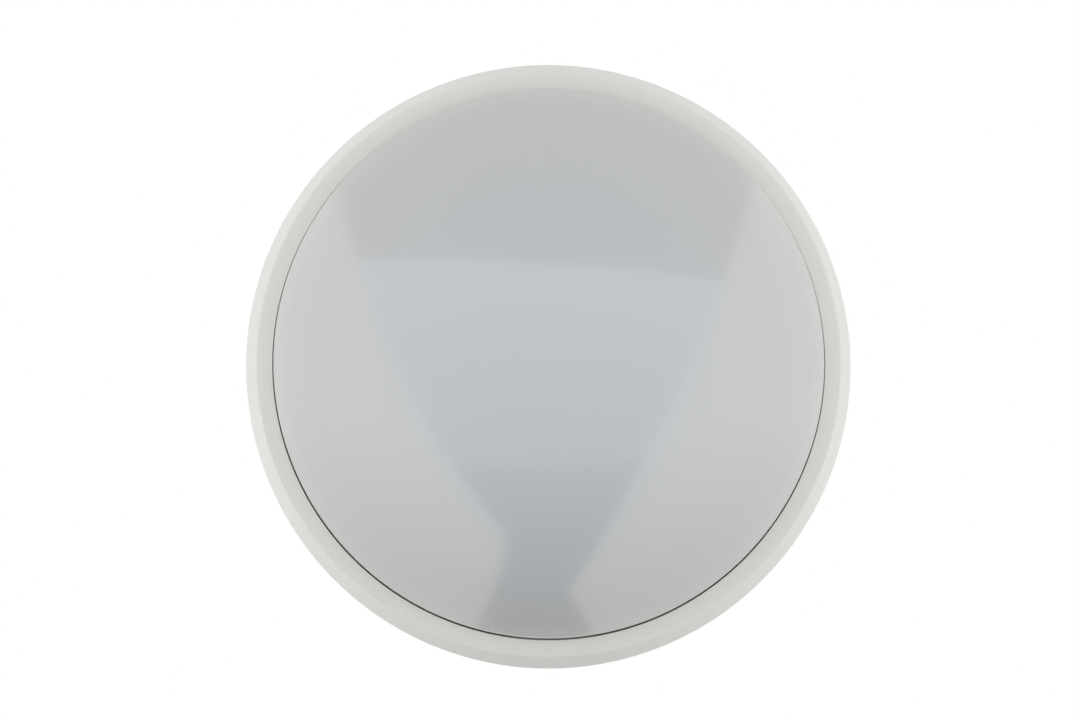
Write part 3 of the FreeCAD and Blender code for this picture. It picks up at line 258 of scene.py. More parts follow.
# %% Dome: its stations
DOME_REAR = 16.0
LUG_REAR, LUG_FRONT = 16.6, 18.8
SHOULDER_STEPS, CROWN_STEPS = 8, 44
SHOULDER_INSIDE = 1.5
SHOULDER_STEPS_INSIDE, CROWN_STEPS_INSIDE = 5, 30

radius_inside = DOME_RADIUS - DOME_WALL
curve_inside = dome_curve - DOME_WALL
dome_outside = dome_stations(DOME_RADIUS, dome_curve, SHOULDER, SHOULDER_STEPS, CROWN_STEPS)
dome_inside = dome_stations(
    radius_inside, curve_inside, SHOULDER_INSIDE, SHOULDER_STEPS_INSIDE, CROWN_STEPS_INSIDE
)
dome_foot = [
    (radius_inside, DOME_REAR),
    (DOME_RADIUS, DOME_REAR),
    (DOME_RADIUS, LUG_REAR),
    (DOME_RADIUS, LUG_FRONT),
]
dome_outline = dome_inside[::-1] + dome_foot + dome_outside
print("dome stations:", len(dome_outline))

# %% [markdown]
# ## Turning the dome
# Turning leaves a small round hole in the middle of the inside and of the outside. Each hole is
# closed as by hand: its edge is extruded on the spot and the new points are merged in their
# middle. The outside's edge is still selected after turning. The inside's is then the only open
# edge left.

# %% Dome: turn it and close its middles
def close_middle():
    """Closes the selected round edge with faces that meet in its middle."""
    bpy.ops.mesh.extrude_edges_move()
    bpy.ops.mesh.merge(type="CENTER")


opal_dome = turn_piece("opal_dome", dome_outline)
close_middle()
bpy.ops.mesh.select_all(action="DESELECT")
dome_mesh = bmesh.from_edit_mesh(opal_dome.data)
for edge in dome_mesh.edges:
    edge.select_set(edge.is_boundary)
bmesh.update_edit_mesh(opal_dome.data)
close_middle()
close_and_face_out()
print("dome faces:", len(bmesh.from_edit_mesh(opal_dome.data).faces))

# %% [markdown]
# ## Lugs of the twist lock
# Eight lugs on the wall turn under the hooks of the base. Their faces are already on the wall,
# between two stations, so they are picked by place and angle, extruded, and scaled away from the
# axis.

# %% Helpers: places round the light
def angle_round(place):
    """Degrees from +X towards +Z, which is anticlockwise for the viewer."""
    return math.degrees(math.atan2(place.z, place.x)) % 360


def near_every(angle, step, reach):
    """True within a reach of a multiple of a step, all in degrees."""
    return abs((angle + step / 2) % step - step / 2) < reach


print("the top of the light is at", angle_round(Vector((0, 0, 1))), "degrees")

# %% Dome: lugs
LUG_COUNT = 8
LUG_HALF_ANGLE = 7.0
LUG_REACH = 1.8
WALL_NEAR = 0.1  # mm

bpy.ops.mesh.select_mode(type="FACE")
bpy.ops.mesh.select_all(action="DESELECT")
dome_mesh = bmesh.from_edit_mesh(opal_dome.data)
lug_faces = 0
for face in dome_mesh.faces:
    middle = face.calc_center_median()
    on_wall = math.hypot(middle.x, middle.z) > (DOME_RADIUS - WALL_NEAR) * MM
    at_depth = LUG_REAR * MM < -middle.y < LUG_FRONT * MM
    at_angle = near_every(angle_round(middle), 360 / LUG_COUNT, LUG_HALF_ANGLE)
    if on_wall and at_depth and at_angle:
        face.select_set(True)
        lug_faces += 1
bmesh.update_edit_mesh(opal_dome.data)
bpy.ops.mesh.extrude_region_move()
lug_scale = (DOME_RADIUS + LUG_REACH) / DOME_RADIUS
bpy.ops.transform.resize(value=(lug_scale, 1, lug_scale), center_override=(0, 0, 0))
bpy.ops.object.mode_set(mode="OBJECT")
print("lug faces picked:", lug_faces)

# %% [markdown]
# ## Smooth shading
# The dome is made of flat faces, and smooth shading blends them. Edges sharper than some angle
# stay sharp, as at the foot and the lugs. On the tight shoulder the blend would bend the gloss of
# the large faces beside it, so a Weighted Normal modifier lets each large face keep its own
# direction.

# %% Dome: smooth shading
DOME_SHARP = 30  # degrees


def smooth_piece(piece, sharp_angle):
    """Smooth shading up to an angle in degrees, in which a large face keeps its own direction."""
    bpy.ops.object.shade_smooth_by_angle(angle=math.radians(sharp_angle))
    bpy.ops.object.modifier_add(type="WEIGHTED_NORMAL")
    piece.modifiers[-1].keep_sharp = True
    bpy.ops.object.modifier_apply(modifier=piece.modifiers[-1].name)
    print(piece.name, "is smooth, apart from edges over", sharp_angle, "degrees")


smooth_piece(opal_dome, DOME_SHARP)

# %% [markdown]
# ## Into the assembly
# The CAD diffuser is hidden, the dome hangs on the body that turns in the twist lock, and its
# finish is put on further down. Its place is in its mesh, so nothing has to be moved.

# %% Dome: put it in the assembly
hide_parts("diffuser")
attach(opal_dome, "diffuser_body")
print("dome size in mm:", in_mm(opal_dome.dimensions))

# %% [markdown]
# ## Cover ring
# The ring hides the base. It has a short straight land at the wall, a tapered side, a narrow front
# face that leans in towards the dome, and a collar that lines the opening. The sharp outline is
# turned first, and the three edges that a hand would meet are picked by place and bevelled, as a
# moulder rounds a tool.

# %% Ring: turn its sharp outline
RING_OUTLINE = [  # radius, depth
    (150.0, 7.5),  # land, rear edge
    (150.0, 9.0),  # land, where the side begins to taper
    (144.2, 26.0),  # side meets front face
    (135.75, 29.0),  # crest, at the opening
    (135.75, 24.0),  # collar, rear edge
    (137.75, 24.0),
    (137.75, 26.09),  # back of the front face
    (142.75, 23.8),
    (147.8, 9.0),  # back of the side
    (147.8, 7.5),
]

cover_ring = turn_piece("cover_ring", RING_OUTLINE + RING_OUTLINE[:1])
close_and_face_out()
print("ring faces:", len(bmesh.from_edit_mesh(cover_ring.data).faces))

# %% Ring: round the edges that show
ROUNDED_EDGES = [  # radius, depth, reach of the bevel, steps
    (150.0, 7.5, 0.66, 8),
    (144.2, 26.0, 1.07, 8),
    (135.75, 29.0, 0.283, 6),
]
EDGE_NEAR = 0.01  # mm


def off_circle(place, radius, depth):
    """How far a place in metres is from a circle round the axis, whose sizes are in mm."""
    return math.hypot(math.hypot(place.x, place.z) - radius * MM, place.y + depth * MM)


bpy.ops.mesh.select_mode(type="EDGE")
for radius, depth, reach, steps in ROUNDED_EDGES:
    bpy.ops.mesh.select_all(action="DESELECT")
    ring_mesh = bmesh.from_edit_mesh(cover_ring.data)
    for edge in ring_mesh.edges:
        off = [off_circle(vert.co, radius, depth) for vert in edge.verts]
        edge.select_set(max(off) < EDGE_NEAR * MM)
    bmesh.update_edit_mesh(cover_ring.data)
    bpy.ops.mesh.bevel(offset=reach * MM, segments=steps, profile=0.5, affect="EDGES")
print("ring faces after bevels:", len(bmesh.from_edit_mesh(cover_ring.data).faces))
bpy.ops.object.mode_set(mode="OBJECT")

# %% [markdown]
# ## Ribs, pads and stakes inside the ring
# Behind the front face are 24 thin ribs that stop the ring against the base, and six pads, each
# with a stake that holds a spring clip. They only show from behind and when the ring is pulled
# off. One rib and one pad are modelled at the right-hand side and copied round the axis. A block's
# side is drawn on a plane by its four corners, and extruded to its width.

# %% Helpers: draw a block
def set_corners(piece, places):
    """Moves the corners of a flat piece of one face to places in metres. It is in edit mode."""
    drawing = bmesh.from_edit_mesh(piece.data)
    in_turn = [loop.vert for loop in next(iter(drawing.faces)).loops]
    for vert, place in zip(in_turn, places):
        vert.co = place
    bmesh.update_edit_mesh(piece.data)


def drawn_block(name, corners, width):
    """A block at the right-hand side, drawn by four (radius, depth) corners and a width in mm."""
    bpy.ops.object.select_all(action="DESELECT")
    bpy.ops.mesh.primitive_plane_add(size=MM, location=(0, 0, 0))
    piece = bpy.context.object
    piece.name = name
    bpy.ops.object.mode_set(mode="EDIT")
    set_corners(piece, [Vector((radius, -depth, -width / 2)) * MM for radius, depth in corners])
    bpy.ops.mesh.select_all(action="SELECT")
    bpy.ops.mesh.extrude_region_move(TRANSFORM_OT_translate={"value": (0, 0, width * MM)})
    bpy.ops.mesh.select_all(action="SELECT")
    bpy.ops.mesh.normals_make_consistent(inside=False)
    bpy.ops.object.mode_set(mode="OBJECT")
    print(name, "size in mm:", in_mm(piece.dimensions))
    return piece


print("blocks are drawn at", angle_round(Vector((1, 0, 0))), "degrees")

# %% Ring: ribs
RIB_COUNT = 24
FIRST_RIB = 7.5  # degrees, so that no rib meets a pad
RIB_WIDTH = 1.6
RIB_CORNERS = [(136.75, 22.8), (144.19, 22.8), (143.85, 24.9), (136.75, 27.19)]


def copies_round(piece, count, first_angle):
    """Copies of a piece, spread evenly round the axis from a first angle. The piece is used up."""
    copies = []
    for i in range(count):
        bpy.ops.object.select_all(action="DESELECT")
        piece.select_set(True)
        bpy.context.view_layer.objects.active = piece
        bpy.ops.object.duplicate()
        copy = bpy.context.object
        copy.rotation_euler = (0, -math.radians(first_angle + 360 * i / count), 0)
        bpy.ops.object.transform_apply(location=True, rotation=True, scale=True)
        copies.append(copy)
    bpy.data.objects.remove(piece)
    return copies


ribs = copies_round(drawn_block("rib", RIB_CORNERS, RIB_WIDTH), RIB_COUNT, FIRST_RIB)
print("ribs:", len(ribs))

# %% [markdown]
# ## One skin
# Joining the pieces into one object would leave their hidden ends inside the ring's wall. The real
# ring is one moulding, so a Boolean union makes one closed skin instead: first of a pad and its
# stake, then of the ring and all that is inside it.

# %% Ring: clip pads with their stakes
PAD_COUNT = 6
PAD_WIDTH = 15.0
CLIP_FACE = 141.7  # radius of a clip's outer face, on which its pad rests
PAD_CORNERS = [(CLIP_FACE, 12.0), (147.88, 12.0), (144.64, 21.5), (CLIP_FACE, 21.5)]
STAKE_RADIUS, STAKE_LENGTH, STAKE_DEPTH = 1.5, 1.6, 16.75
STAKE_STEPS = 32


def melt_in(piece, addition):
    """Makes one closed skin of a piece and an overlapping addition, which is used up."""
    bpy.ops.object.select_all(action="DESELECT")
    piece.select_set(True)
    bpy.context.view_layer.objects.active = piece
    bpy.ops.object.modifier_add(type="BOOLEAN")
    union = piece.modifiers[-1]
    union.operation = "UNION"
    union.solver = "EXACT"
    union.object = addition
    bpy.ops.object.modifier_apply(modifier=union.name)
    bpy.data.objects.remove(addition)


pad = drawn_block("pad", PAD_CORNERS, PAD_WIDTH)
bpy.ops.object.select_all(action="DESELECT")
bpy.ops.mesh.primitive_cylinder_add(
    vertices=STAKE_STEPS,
    radius=STAKE_RADIUS * MM,
    depth=STAKE_LENGTH * MM,
    location=(CLIP_FACE * MM, -STAKE_DEPTH * MM, 0),
    rotation=(0, math.pi / 2, 0),
)
bpy.ops.object.transform_apply(location=True, rotation=True, scale=True)
melt_in(pad, bpy.context.object)
pads = copies_round(pad, PAD_COUNT, first_angle=0.0)
print("pads:", len(pads))

# %% Ring: one skin, smooth
RING_SHARP = 16  # degrees

bpy.ops.object.select_all(action="DESELECT")
for piece in ribs + pads:
    piece.select_set(True)
bpy.context.view_layer.objects.active = ribs[0]
bpy.ops.object.join()
melt_in(cover_ring, bpy.context.object)
smooth_piece(cover_ring, RING_SHARP)

# %% Ring: put it in the assembly
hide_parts("trim_ring")
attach(cover_ring, "trim_ring_body")
print("ring size in mm:", in_mm(cover_ring.dimensions))

# %% [markdown]
# ## Finishes: common parts
# A moulded plastic is never one even colour: the tool's texture makes a fine grain, the flow of
# the melt a slow drift in tone, and both change how sharp the gloss is. Each finish below is a
# Principled shader with those layers as noise in Object coordinates, whose sizes are written in
# millimetres.

# %% Helpers: a new finish and its noise
def start_finish(name):
    """A new material with its node tree and its Principled shader."""
    finish = bpy.data.materials.new(name)
    finish.use_nodes = True
    return finish, finish.node_tree, finish.node_tree.nodes["Principled BSDF"]


def noise_layer(tree, size, detail=2.0, stretch=(1, 1, 1)):
    """Noise whose spots are about a size in mm, drawn out where the stretch is under one."""
    place = tree.nodes.new("ShaderNodeTexCoord")
    mapping = tree.nodes.new("ShaderNodeMapping")
    mapping.inputs["Scale"].default_value = stretch
    noise = tree.nodes.new("ShaderNodeTexNoise")
    noise.inputs["Scale"].default_value = 1 / (size * MM)
    noise.inputs["Detail"].default_value = detail
    tree.links.new(place.outputs["Object"], mapping.inputs["Vector"])
    tree.links.new(mapping.outputs["Vector"], noise.inputs["Vector"])
    return noise.outputs["Fac"]


print("materials that came with the CAD model:", len(bpy.data.materials))

# %% Helpers: tone, gloss and relief
NOISE_LOW, NOISE_HIGH = 0.3, 0.7  # most of the noise lies between these


def between(tree, factor, low, high, start=0.0, end=1.0):
    """A value that goes from low to high as the factor goes from a start to an end."""
    span = tree.nodes.new("ShaderNodeMapRange")
    span.inputs["From Min"].default_value = start
    span.inputs["From Max"].default_value = end
    span.inputs["To Min"].default_value = low
    span.inputs["To Max"].default_value = high
    tree.links.new(factor, span.inputs["Value"])
    return span.outputs["Result"]


def tone_drift(tree, shader, factor, colour, drift):
    """Base colour that drifts by a share of itself to either side."""
    mix = tree.nodes.new("ShaderNodeMix")
    mix.data_type = "RGBA"
    tree.links.new(factor, mix.inputs["Factor"])
    mix.inputs["A"].default_value = (*[value * (1 - drift) for value in colour[:3]], 1)
    mix.inputs["B"].default_value = (*[value * (1 + drift) for value in colour[:3]], 1)
    tree.links.new(mix.outputs["Result"], shader.inputs["Base Color"])


def rough_between(tree, shader, factor, low, high):
    """Roughness between two values where the noise goes from dark to light."""
    rough = between(tree, factor, low, high, NOISE_LOW, NOISE_HIGH)
    tree.links.new(rough, shader.inputs["Roughness"])


def grain_bump(tree, shader, factor, height, strength):
    """A bump of a height in mm."""
    bump = tree.nodes.new("ShaderNodeBump")
    bump.inputs["Strength"].default_value = strength
    bump.inputs["Distance"].default_value = height * MM
    tree.links.new(factor, bump.inputs["Height"])
    tree.links.new(bump.outputs["Normal"], shader.inputs["Normal"])


print("gloss follows noise from", NOISE_LOW, "to", NOISE_HIGH)

# %% [markdown]
# ## Opal colour and painted edge glow
# The diffuser is glossy plastic filled with white pigment. In the photograph its middle is a cool
# grey-white, its own colour. Towards its edge it is painted warmer and a shade lighter, a painted
# glow for the light that gets into the thick corner. So a ramp over the distance from the axis
# gives the colour and that painted glow, and slow noise keeps it from being too even.

# %% Finish: opal colour and painted edge glow
# The last two stops are painted glow: a lighter, warmer edge standing in for light in the thick
# corner.
OPAL_TONES_AND_EDGE_GLOW = [  # share of the dome's radius, colour
    (0.3, srgb(156, 161, 167)),
    (0.85, srgb(158, 161, 164)),
    (0.94, srgb(162, 163, 165)),
    (1.0, srgb(170, 170, 169)),
]
OPAL_SPOTS = 80.0
OPAL_DRIFT = 0.015


def far_out(tree, scale):
    """How far a point is from the piece's origin, along the axes of a scale that isn't zero."""
    place = tree.nodes.new("ShaderNodeTexCoord")
    along = tree.nodes.new("ShaderNodeVectorMath")
    along.operation = "MULTIPLY"
    along.inputs[1].default_value = scale
    reach = tree.nodes.new("ShaderNodeVectorMath")
    reach.operation = "LENGTH"
    tree.links.new(place.outputs["Object"], along.inputs[0])
    tree.links.new(along.outputs["Vector"], reach.inputs[0])
    return reach.outputs["Value"]


opal, opal_tree, opal_shader = start_finish("opal")
tones = opal_tree.nodes.new("ShaderNodeValToRGB")
for share, colour in OPAL_TONES_AND_EDGE_GLOW[1:-1]:
    tones.color_ramp.elements.new(share)
for stop, (share, colour) in zip(tones.color_ramp.elements, OPAL_TONES_AND_EDGE_GLOW):
    stop.position = share
    stop.color = colour
a_radius = 1 / (DOME_RADIUS * MM)
opal_tree.links.new(far_out(opal_tree, (a_radius, 0, a_radius)), tones.inputs["Fac"])
opal_mix = opal_tree.nodes.new("ShaderNodeMix")
opal_mix.data_type = "RGBA"
opal_mix.blend_type = "MULTIPLY"
opal_mix.inputs["Factor"].default_value = 1.0
opal_spots = noise_layer(opal_tree, OPAL_SPOTS)
opal_drift = between(opal_tree, opal_spots, 1 - OPAL_DRIFT, 1 + OPAL_DRIFT)
opal_tree.links.new(tones.outputs["Color"], opal_mix.inputs["A"])
opal_tree.links.new(opal_drift, opal_mix.inputs["B"])
opal_tree.links.new(opal_mix.outputs["Result"], opal_shader.inputs["Base Color"])
print("opal tones:", len(tones.color_ramp.elements))

# %% [markdown]
# ## Opal gloss
# The reflections of the studio in the dome are clear and soft. A low roughness and a clear coat
# carry that gloss, and a very slow, shallow wave keeps the reflections from being as straight as
# in a mirror.

# %% Finish: opal gloss
GLOSS_SPOTS = 6.0
GLOSS_ROUGHNESS = (0.13, 0.17)
WAVE_SPOTS, WAVE_HEIGHT, WAVE_STRENGTH = 30.0, 0.02, 0.2

gloss_spots = noise_layer(opal_tree, GLOSS_SPOTS)
rough_between(opal_tree, opal_shader, gloss_spots, *GLOSS_ROUGHNESS)
wave = noise_layer(opal_tree, WAVE_SPOTS, detail=1.0)
grain_bump(opal_tree, opal_shader, wave, WAVE_HEIGHT, WAVE_STRENGTH)
opal_shader.inputs["IOR"].default_value = 1.585
opal_shader.inputs["Specular IOR Level"].default_value = 1.0
opal_shader.inputs["Coat Weight"].default_value = 1.0
opal_shader.inputs["Coat Roughness"].default_value = 0.08
opal_shader.inputs["Coat IOR"].default_value = 1.75
finishes = {"opal": opal}
print("coat roughness:", round(opal_shader.inputs["Coat Roughness"].default_value, 2))

# %% [markdown]
# ## Ring and base plastic
# Ring and base are the same satin white, a little warmer than the dome, with the fine grain of an
# etched moulding tool. The base behind is a shade greyer. All moulded plastics and rubbers are
# made by one helper: a slow drift in tone over some centimetres, and one fine noise for grain in
# gloss and relief.

# %% Finish: ring and base plastic
DRIFT_SPOTS = 45.0
ROUGH_SPREAD = 0.05
GRAIN_DETAIL, GRAIN_STRENGTH = 3.0, 0.5
PLASTIC_IOR = 1.5


def moulded(slot, colour, rough, grain, relief, drift=0.02):
    """A moulded plastic or rubber, with its grain's size and relief in mm."""
    finish, tree, shader = start_finish(slot)
    tone_drift(tree, shader, noise_layer(tree, DRIFT_SPOTS), srgb(*colour), drift)
    fine = noise_layer(tree, grain, detail=GRAIN_DETAIL)
    rough_between(tree, shader, fine, rough - ROUGH_SPREAD, rough + ROUGH_SPREAD)
    grain_bump(tree, shader, fine, relief, GRAIN_STRENGTH)
    shader.inputs["IOR"].default_value = PLASTIC_IOR
    finishes[slot] = finish


moulded("ring_plastic", (202, 201, 197), rough=0.45, grain=0.35, relief=0.01, drift=0.01)
moulded("base_plastic", (200, 200, 196), rough=0.5, grain=0.4, relief=0.03, drift=0.015)
print("finishes so far:", list(finishes))

# %% [markdown]
# ## Rubber, silicone and the parts inside
# The seals are matt rubber and silicone. Tray, LED board, driver and terminals are hidden behind
# the dome, but they keep their own finishes, so the inside looks right when the pieces are shown
# apart.

# %% Finish: seals and inside parts
MOULDED_PARTS = [  # slot, colour, roughness, grain, relief
    ("silicone", (205, 205, 201), 0.55, 1.2, 0.02),
    ("black_rubber", (38, 38, 39), 0.62, 0.6, 0.04),
    ("tray_paint", (226, 226, 224), 0.4, 0.7, 0.03),
    ("board_mask", (232, 232, 229), 0.35, 0.8, 0.01),
    ("led_body", (236, 236, 232), 0.4, 0.3, 0.01),
    ("phosphor", (236, 200, 70), 0.3, 0.2, 0.01),
    ("connector_nylon", (226, 222, 208), 0.45, 0.5, 0.02),
    ("driver_plastic", (214, 214, 211), 0.5, 0.5, 0.03),
    ("green_board", (28, 92, 52), 0.35, 0.8, 0.01),
    ("ferrite", (58, 58, 61), 0.7, 0.4, 0.03),
    ("winding_tape", (226, 184, 56), 0.35, 2.0, 0.02),
    ("capacitor_sleeve", (46, 50, 62), 0.3, 3.0, 0.01),
    ("choke_coating", (48, 120, 82), 0.35, 1.5, 0.03),
    ("terminal_nylon", (230, 230, 224), 0.45, 0.5, 0.02),
]

for slot, colour, rough, grain, relief in MOULDED_PARTS:
    moulded(slot, colour, rough, grain, relief)
print("moulded finishes for the inside:", len(MOULDED_PARTS))

# %% [markdown]
# ## Metals
# Clips, screws and terminals are rolled, turned or plated metal, which shows fine lines along the
# way it was drawn. Noise that is stretched along one axis gives such lines in tone, gloss and
# relief.

# %% Finish: metals
LINE_SPOTS = 0.6
LINE_DRIFT, LINE_SPREAD = 0.06, 0.06
LINE_HEIGHT, LINE_STRENGTH = 0.01, 0.3


def metal(slot, colour, rough, stretch):
    """A bare or plated metal with fine drawn lines."""
    finish, tree, shader = start_finish(slot)
    lines = noise_layer(tree, LINE_SPOTS, detail=GRAIN_DETAIL, stretch=stretch)
    tone_drift(tree, shader, lines, srgb(*colour), LINE_DRIFT)
    rough_between(tree, shader, lines, rough - LINE_SPREAD, rough + LINE_SPREAD)
    grain_bump(tree, shader, lines, LINE_HEIGHT, LINE_STRENGTH)
    shader.inputs["Metallic"].default_value = 1.0
    finishes[slot] = finish


metal("spring_steel", (196, 196, 199), rough=0.28, stretch=(1, 0.08, 1))
metal("zinc_steel", (206, 206, 208), rough=0.34, stretch=(1, 0.3, 1))
metal("plated_brass", (214, 196, 150), rough=0.3, stretch=(1, 1, 0.2))
print("finishes so far:", len(finishes))

# %% [markdown]
# ## Lead sheaths
# Leads are glossy sheath in plain colours. The earth lead is green with a yellow stripe, which
# follows the lead because it is placed by the direction in which the surface faces.

# %% Finish: plain leads
LEADS = [  # slot, colour
    ("brown_lead", (112, 66, 38)),
    ("blue_lead", (58, 118, 190)),
    ("red_lead", (196, 44, 40)),
    ("black_lead", (40, 40, 41)),
]

for slot, colour in LEADS:
    moulded(slot, colour, rough=0.35, grain=1.0, relief=0.01)
print("plain leads:", len(LEADS))

# %% Finish: earth lead
EARTH_GREEN = srgb(52, 128, 52)
EARTH_YELLOW = srgb(228, 204, 60)
STRIPE_FACING = -0.45  # how far a surface faces the front to be yellow
SHEATH_SPOTS = 1.0
SHEATH_ROUGHNESS = (0.3, 0.4)

earth, earth_tree, earth_shader = start_finish("earth_lead")
facing = earth_tree.nodes.new("ShaderNodeTexCoord")
parts = earth_tree.nodes.new("ShaderNodeSeparateXYZ")
stripe = earth_tree.nodes.new("ShaderNodeMath")
stripe.operation = "LESS_THAN"
stripe.inputs[1].default_value = STRIPE_FACING
sheath = earth_tree.nodes.new("ShaderNodeMix")
sheath.data_type = "RGBA"
sheath.inputs["A"].default_value = EARTH_GREEN
sheath.inputs["B"].default_value = EARTH_YELLOW
earth_tree.links.new(facing.outputs["Normal"], parts.inputs["Vector"])
earth_tree.links.new(parts.outputs["Y"], stripe.inputs[0])
earth_tree.links.new(stripe.outputs["Value"], sheath.inputs["Factor"])
earth_tree.links.new(sheath.outputs["Result"], earth_shader.inputs["Base Color"])
sheath_spots = noise_layer(earth_tree, SHEATH_SPOTS)
rough_between(earth_tree, earth_shader, sheath_spots, *SHEATH_ROUGHNESS)
finishes["earth_lead"] = earth
print("all finishes:", len(finishes))

# %% [markdown]
# ## Finishes onto pieces
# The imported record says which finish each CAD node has. A node's own material slot is emptied and
# given the finish of that name, and the two new pieces get theirs in the same way.

# %% Put the finishes on
for subpart in frame["record"]["subparts"]:
    node = frame["nodes"][subpart["node"]]
    node.data.materials.clear()
    node.data.materials.append(finishes[subpart["material_slot"]])
for piece, slot in ((opal_dome, "opal"), (cover_ring, "ring_plastic")):
    piece.data.materials.clear()
    piece.data.materials.append(finishes[slot])

# %% [markdown]
# ## Floor
# A wall light has nothing under it, so the pale floor lies well below. A floor that is lit until
# it looks white would flood the light from below. Light Path tells rays apart: where the camera, a
# reflection or clear plastic looks, the floor gets a lift in paleness, and for the light that it
# casts it has its plain colour. The lift is added to what the lamps give, so the floor keeps the
# light's shadow. It grows with the distance, so the floor runs into the white of the world without
# an edge.

# %% Helper: rays that look
def seen_rays(tree):
    """One where the camera, a reflection or clear plastic looks, and zero for cast light."""
    ray = tree.nodes.new("ShaderNodeLightPath")
    mirrored = tree.nodes.new("ShaderNodeMath")
    mirrored.operation = "MAXIMUM"
    seen = tree.nodes.new("ShaderNodeMath")
    seen.operation = "MAXIMUM"
    tree.links.new(ray.outputs["Is Camera Ray"], mirrored.inputs[0])
    tree.links.new(ray.outputs["Is Glossy Ray"], mirrored.inputs[1])
    tree.links.new(mirrored.outputs["Value"], seen.inputs[0])
    tree.links.new(ray.outputs["Is Transmission Ray"], seen.inputs[1])
    return seen.outputs["Value"]


# %% Floor: its plane and plain finish
FLOOR_SIZE = 24.0
FLOOR_DROP = 1.5
FLOOR_TONE = srgb(205, 205, 205)
FLOOR_SPOTS = 300.0
FLOOR_DRIFT = 0.02
FLOOR_ROUGHNESS = 0.9

bpy.ops.object.select_all(action="DESELECT")
bpy.ops.mesh.primitive_plane_add(size=FLOOR_SIZE, location=(0, 0, -FLOOR_DROP))
floor = bpy.context.object
floor.name = "floor"
floor_finish, floor_tree, floor_shader = start_finish("floor")
floor_spots = noise_layer(floor_tree, FLOOR_SPOTS)
tone_drift(floor_tree, floor_shader, floor_spots, FLOOR_TONE, FLOOR_DRIFT)
floor_shader.inputs["Roughness"].default_value = FLOOR_ROUGHNESS
floor.data.materials.append(floor_finish)
floor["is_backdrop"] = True
print("floor", FLOOR_SIZE, "m wide,", FLOOR_DROP, "m below the light")

# %% Floor: its lift
WHITE = (1, 1, 1, 1)
NEAR_FLOOR, NEAR_LIFT = 0.6, 0.22
FAR_FLOOR, FAR_LIFT = 11.0, 0.95

floor_reach = far_out(floor_tree, (1, 1, 1))
grown_lift = between(floor_tree, floor_reach, NEAR_LIFT, FAR_LIFT, NEAR_FLOOR, FAR_FLOOR)
floor_lift = floor_tree.nodes.new("ShaderNodeMath")
floor_lift.operation = "MULTIPLY"
floor_tree.links.new(grown_lift, floor_lift.inputs[0])
floor_tree.links.new(seen_rays(floor_tree), floor_lift.inputs[1])
floor_shader.inputs["Emission Color"].default_value = WHITE
floor_tree.links.new(floor_lift.outputs["Value"], floor_shader.inputs["Emission Strength"])
print("floor lift from", NEAR_LIFT, "to", FAR_LIFT)

# %% [markdown]
# ## World
# The world is the white that the camera sees behind the light. It is kept apart in the same way:
# it looks white, at a strength of 1, and lights the object less than that, so that the lamps can
# shape it.

# %% World
WORLD_AS_LAMP = 0.42
WORLD_SEEN = 1.0

world = bpy.data.worlds.new("studio")
bpy.context.scene.world = world
world.use_nodes = True
background = world.node_tree.nodes["Background"]
background.inputs["Color"].default_value = WHITE
looks = seen_rays(world.node_tree)
world_strength = between(world.node_tree, looks, WORLD_AS_LAMP, WORLD_SEEN)
world.node_tree.links.new(world_strength, background.inputs["Strength"])
print("world as a lamp:", WORLD_AS_LAMP)

# %% [markdown]
# ## Boards that the dome mirrors
# The dome in the photograph mirrors two tall pale boards, left and right, whose inner edges lean
# towards each other below. Between them it mirrors a wide board behind the camera, above that a
# high pale one, and under it a dimmer card. These five are glowing meshes and not lamps: a mesh
# hides what is behind it, as a board in a studio does, while Blender's area lamps shine through
# each other. Each board is drawn by its corners on an upright plane, and its glow fades downwards
# from some height on. The camera doesn't see them, only the dome does. The high board is so large
# that its light would wash out the ring, so it is kept to reflections.

# %% Helper: a glowing board
def glowing_board(name, distance, corners, low_glow, full_glow, full_height, colour):
    """An upright board in front of the light, drawn by (x, z) corners. A glow of 1 is white."""
    bpy.ops.object.select_all(action="DESELECT")
    bpy.ops.mesh.primitive_circle_add(vertices=len(corners), radius=1, fill_type="NGON")
    board = bpy.context.object
    board.name = name
    bpy.ops.object.mode_set(mode="EDIT")
    set_corners(board, [(x, -distance, z) for x, z in corners])
    bpy.ops.object.mode_set(mode="OBJECT")
    low_height = min(z for x, z in corners)
    finish, tree, shader = start_finish(name)
    tree.nodes.remove(shader)
    place = tree.nodes.new("ShaderNodeTexCoord")
    parts = tree.nodes.new("ShaderNodeSeparateXYZ")
    glow = tree.nodes.new("ShaderNodeEmission")
    glow.inputs["Color"].default_value = colour
    tree.links.new(place.outputs["Object"], parts.inputs["Vector"])
    fade = between(tree, parts.outputs["Z"], low_glow, full_glow, low_height, full_height)
    tree.links.new(fade, glow.inputs["Strength"])
    tree.links.new(glow.outputs["Emission"], tree.nodes["Material Output"].inputs["Surface"])
    board.data.materials.append(finish)
    board.visible_camera = False
    board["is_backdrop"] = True
    print(name, "from", low_height, "to", max(z for x, z in corners), "m high")
    return board


print("camera in front of the light:", round(-camera_place.y, 2), "m")

# %% Boards at the sides
WARM_GLOW = srgb(255, 253, 250)
SIDE_DISTANCE = 1.2
SIDE_GLOW = {"low_glow": 0.78, "full_glow": 1.57, "full_height": -0.2, "colour": WARM_GLOW}
LEFT_CORNERS = [
    (-1.32, 1.35),
    (-0.46, -0.27),
    (-0.175, -0.69),
    (-0.2, -0.87),
    (-0.42, -1.45),
    (-2.0, -1.45),
    (-2.0, 1.35),
]
RIGHT_CORNERS = [
    (1.29, 1.35),
    (0.44, -0.27),
    (0.105, -1.02),
    (0.3, -1.45),
    (2.0, -1.45),
    (2.0, 1.35),
]

glowing_board("left_board", SIDE_DISTANCE, LEFT_CORNERS, **SIDE_GLOW)
glowing_board("right_board", SIDE_DISTANCE, RIGHT_CORNERS, **SIDE_GLOW)

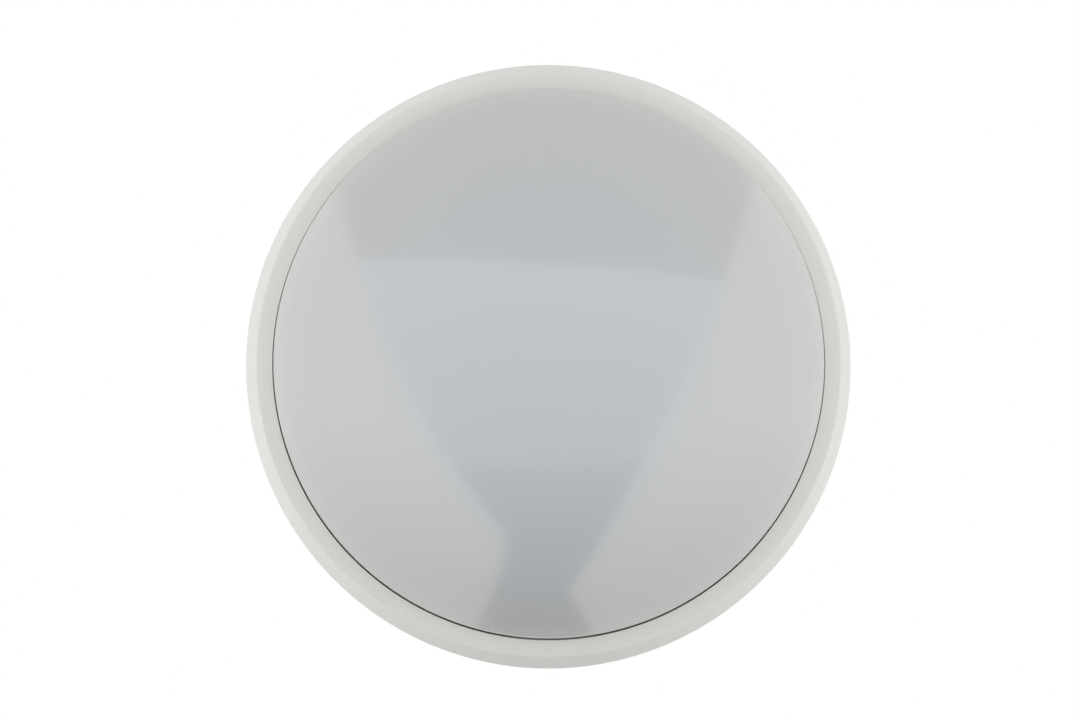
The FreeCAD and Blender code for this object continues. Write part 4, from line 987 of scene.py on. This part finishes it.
# %% Boards behind the camera, and the card below
COOL_GLOW = srgb(252, 254, 255)
BACK_DISTANCE, HIGH_DISTANCE, CARD_DISTANCE = 2.6, 2.7, 1.3
BACK_CORNERS = [(-1.9, 1.2), (0.0, 0.97), (1.9, 0.94), (1.9, -0.72), (-1.9, -0.8)]
HIGH_CORNERS = [(-3.2, 4.5), (3.2, 4.5), (3.2, 0.5), (-3.2, 0.5)]
CARD_CORNERS = [(-0.6, -0.41), (0.6, -0.4), (0.6, -1.49), (-0.6, -1.49)]
BACK_GLOW = {"low_glow": 1.2, "full_glow": 1.5, "full_height": 1.0, "colour": COOL_GLOW}
HIGH_GLOW = {"low_glow": 1.12, "full_glow": 1.12, "full_height": 1.0, "colour": WARM_GLOW}
CARD_GLOW = {"low_glow": 0.14, "full_glow": 0.98, "full_height": -0.41, "colour": COOL_GLOW}

glowing_board("back_board", BACK_DISTANCE, BACK_CORNERS, **BACK_GLOW)
high_board = glowing_board("high_board", HIGH_DISTANCE, HIGH_CORNERS, **HIGH_GLOW)
high_board.visible_diffuse = False
glowing_board("low_card", CARD_DISTANCE, CARD_CORNERS, **CARD_GLOW)

# %% [markdown]
# ## Softboxes
# Ring and sides are lit by soft lamps, left, right, above and behind. A softbox is placed by its
# middle and aimed at the light. Its brightness is the tone at which it would be seen, 1 being
# white, and the lamp's watts follow from its area. The softboxes are kept out of reflections,
# because the dome's tight shoulder would draw them together into a bright line.

# %% Softboxes
SOFTBOXES = [  # name, place, width and height in m, brightness
    ("left_side", (-1.7, 0.1, -0.3), 1.8, 1.7, 2.2),
    ("right_side", (1.7, 0.1, -0.3), 1.8, 1.7, 2.2),
    ("overhead", (0.0, -0.1, 1.7), 1.8, 1.8, 1.65),
    ("behind", (0.0, 1.8, 0.6), 1.6, 1.2, 0.8),
]

for name, place, width, height, brightness in SOFTBOXES:
    turn = (-Vector(place)).to_track_quat("-Z", "Y").to_euler()
    bpy.ops.object.light_add(type="AREA", location=place, rotation=turn)
    lamp = bpy.context.object
    lamp.name = name
    lamp.data.shape = "RECTANGLE"
    lamp.data.size = width
    lamp.data.size_y = height
    lamp.data.energy = brightness * math.pi * width * height
    lamp.visible_camera = False
    lamp.visible_glossy = False
    print(name, "watts:", round(lamp.data.energy, 1))

# %% Sizes and finish
visual_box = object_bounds()
for corner in visual_box:
    print("visual box corner in mm:", in_mm(corner))
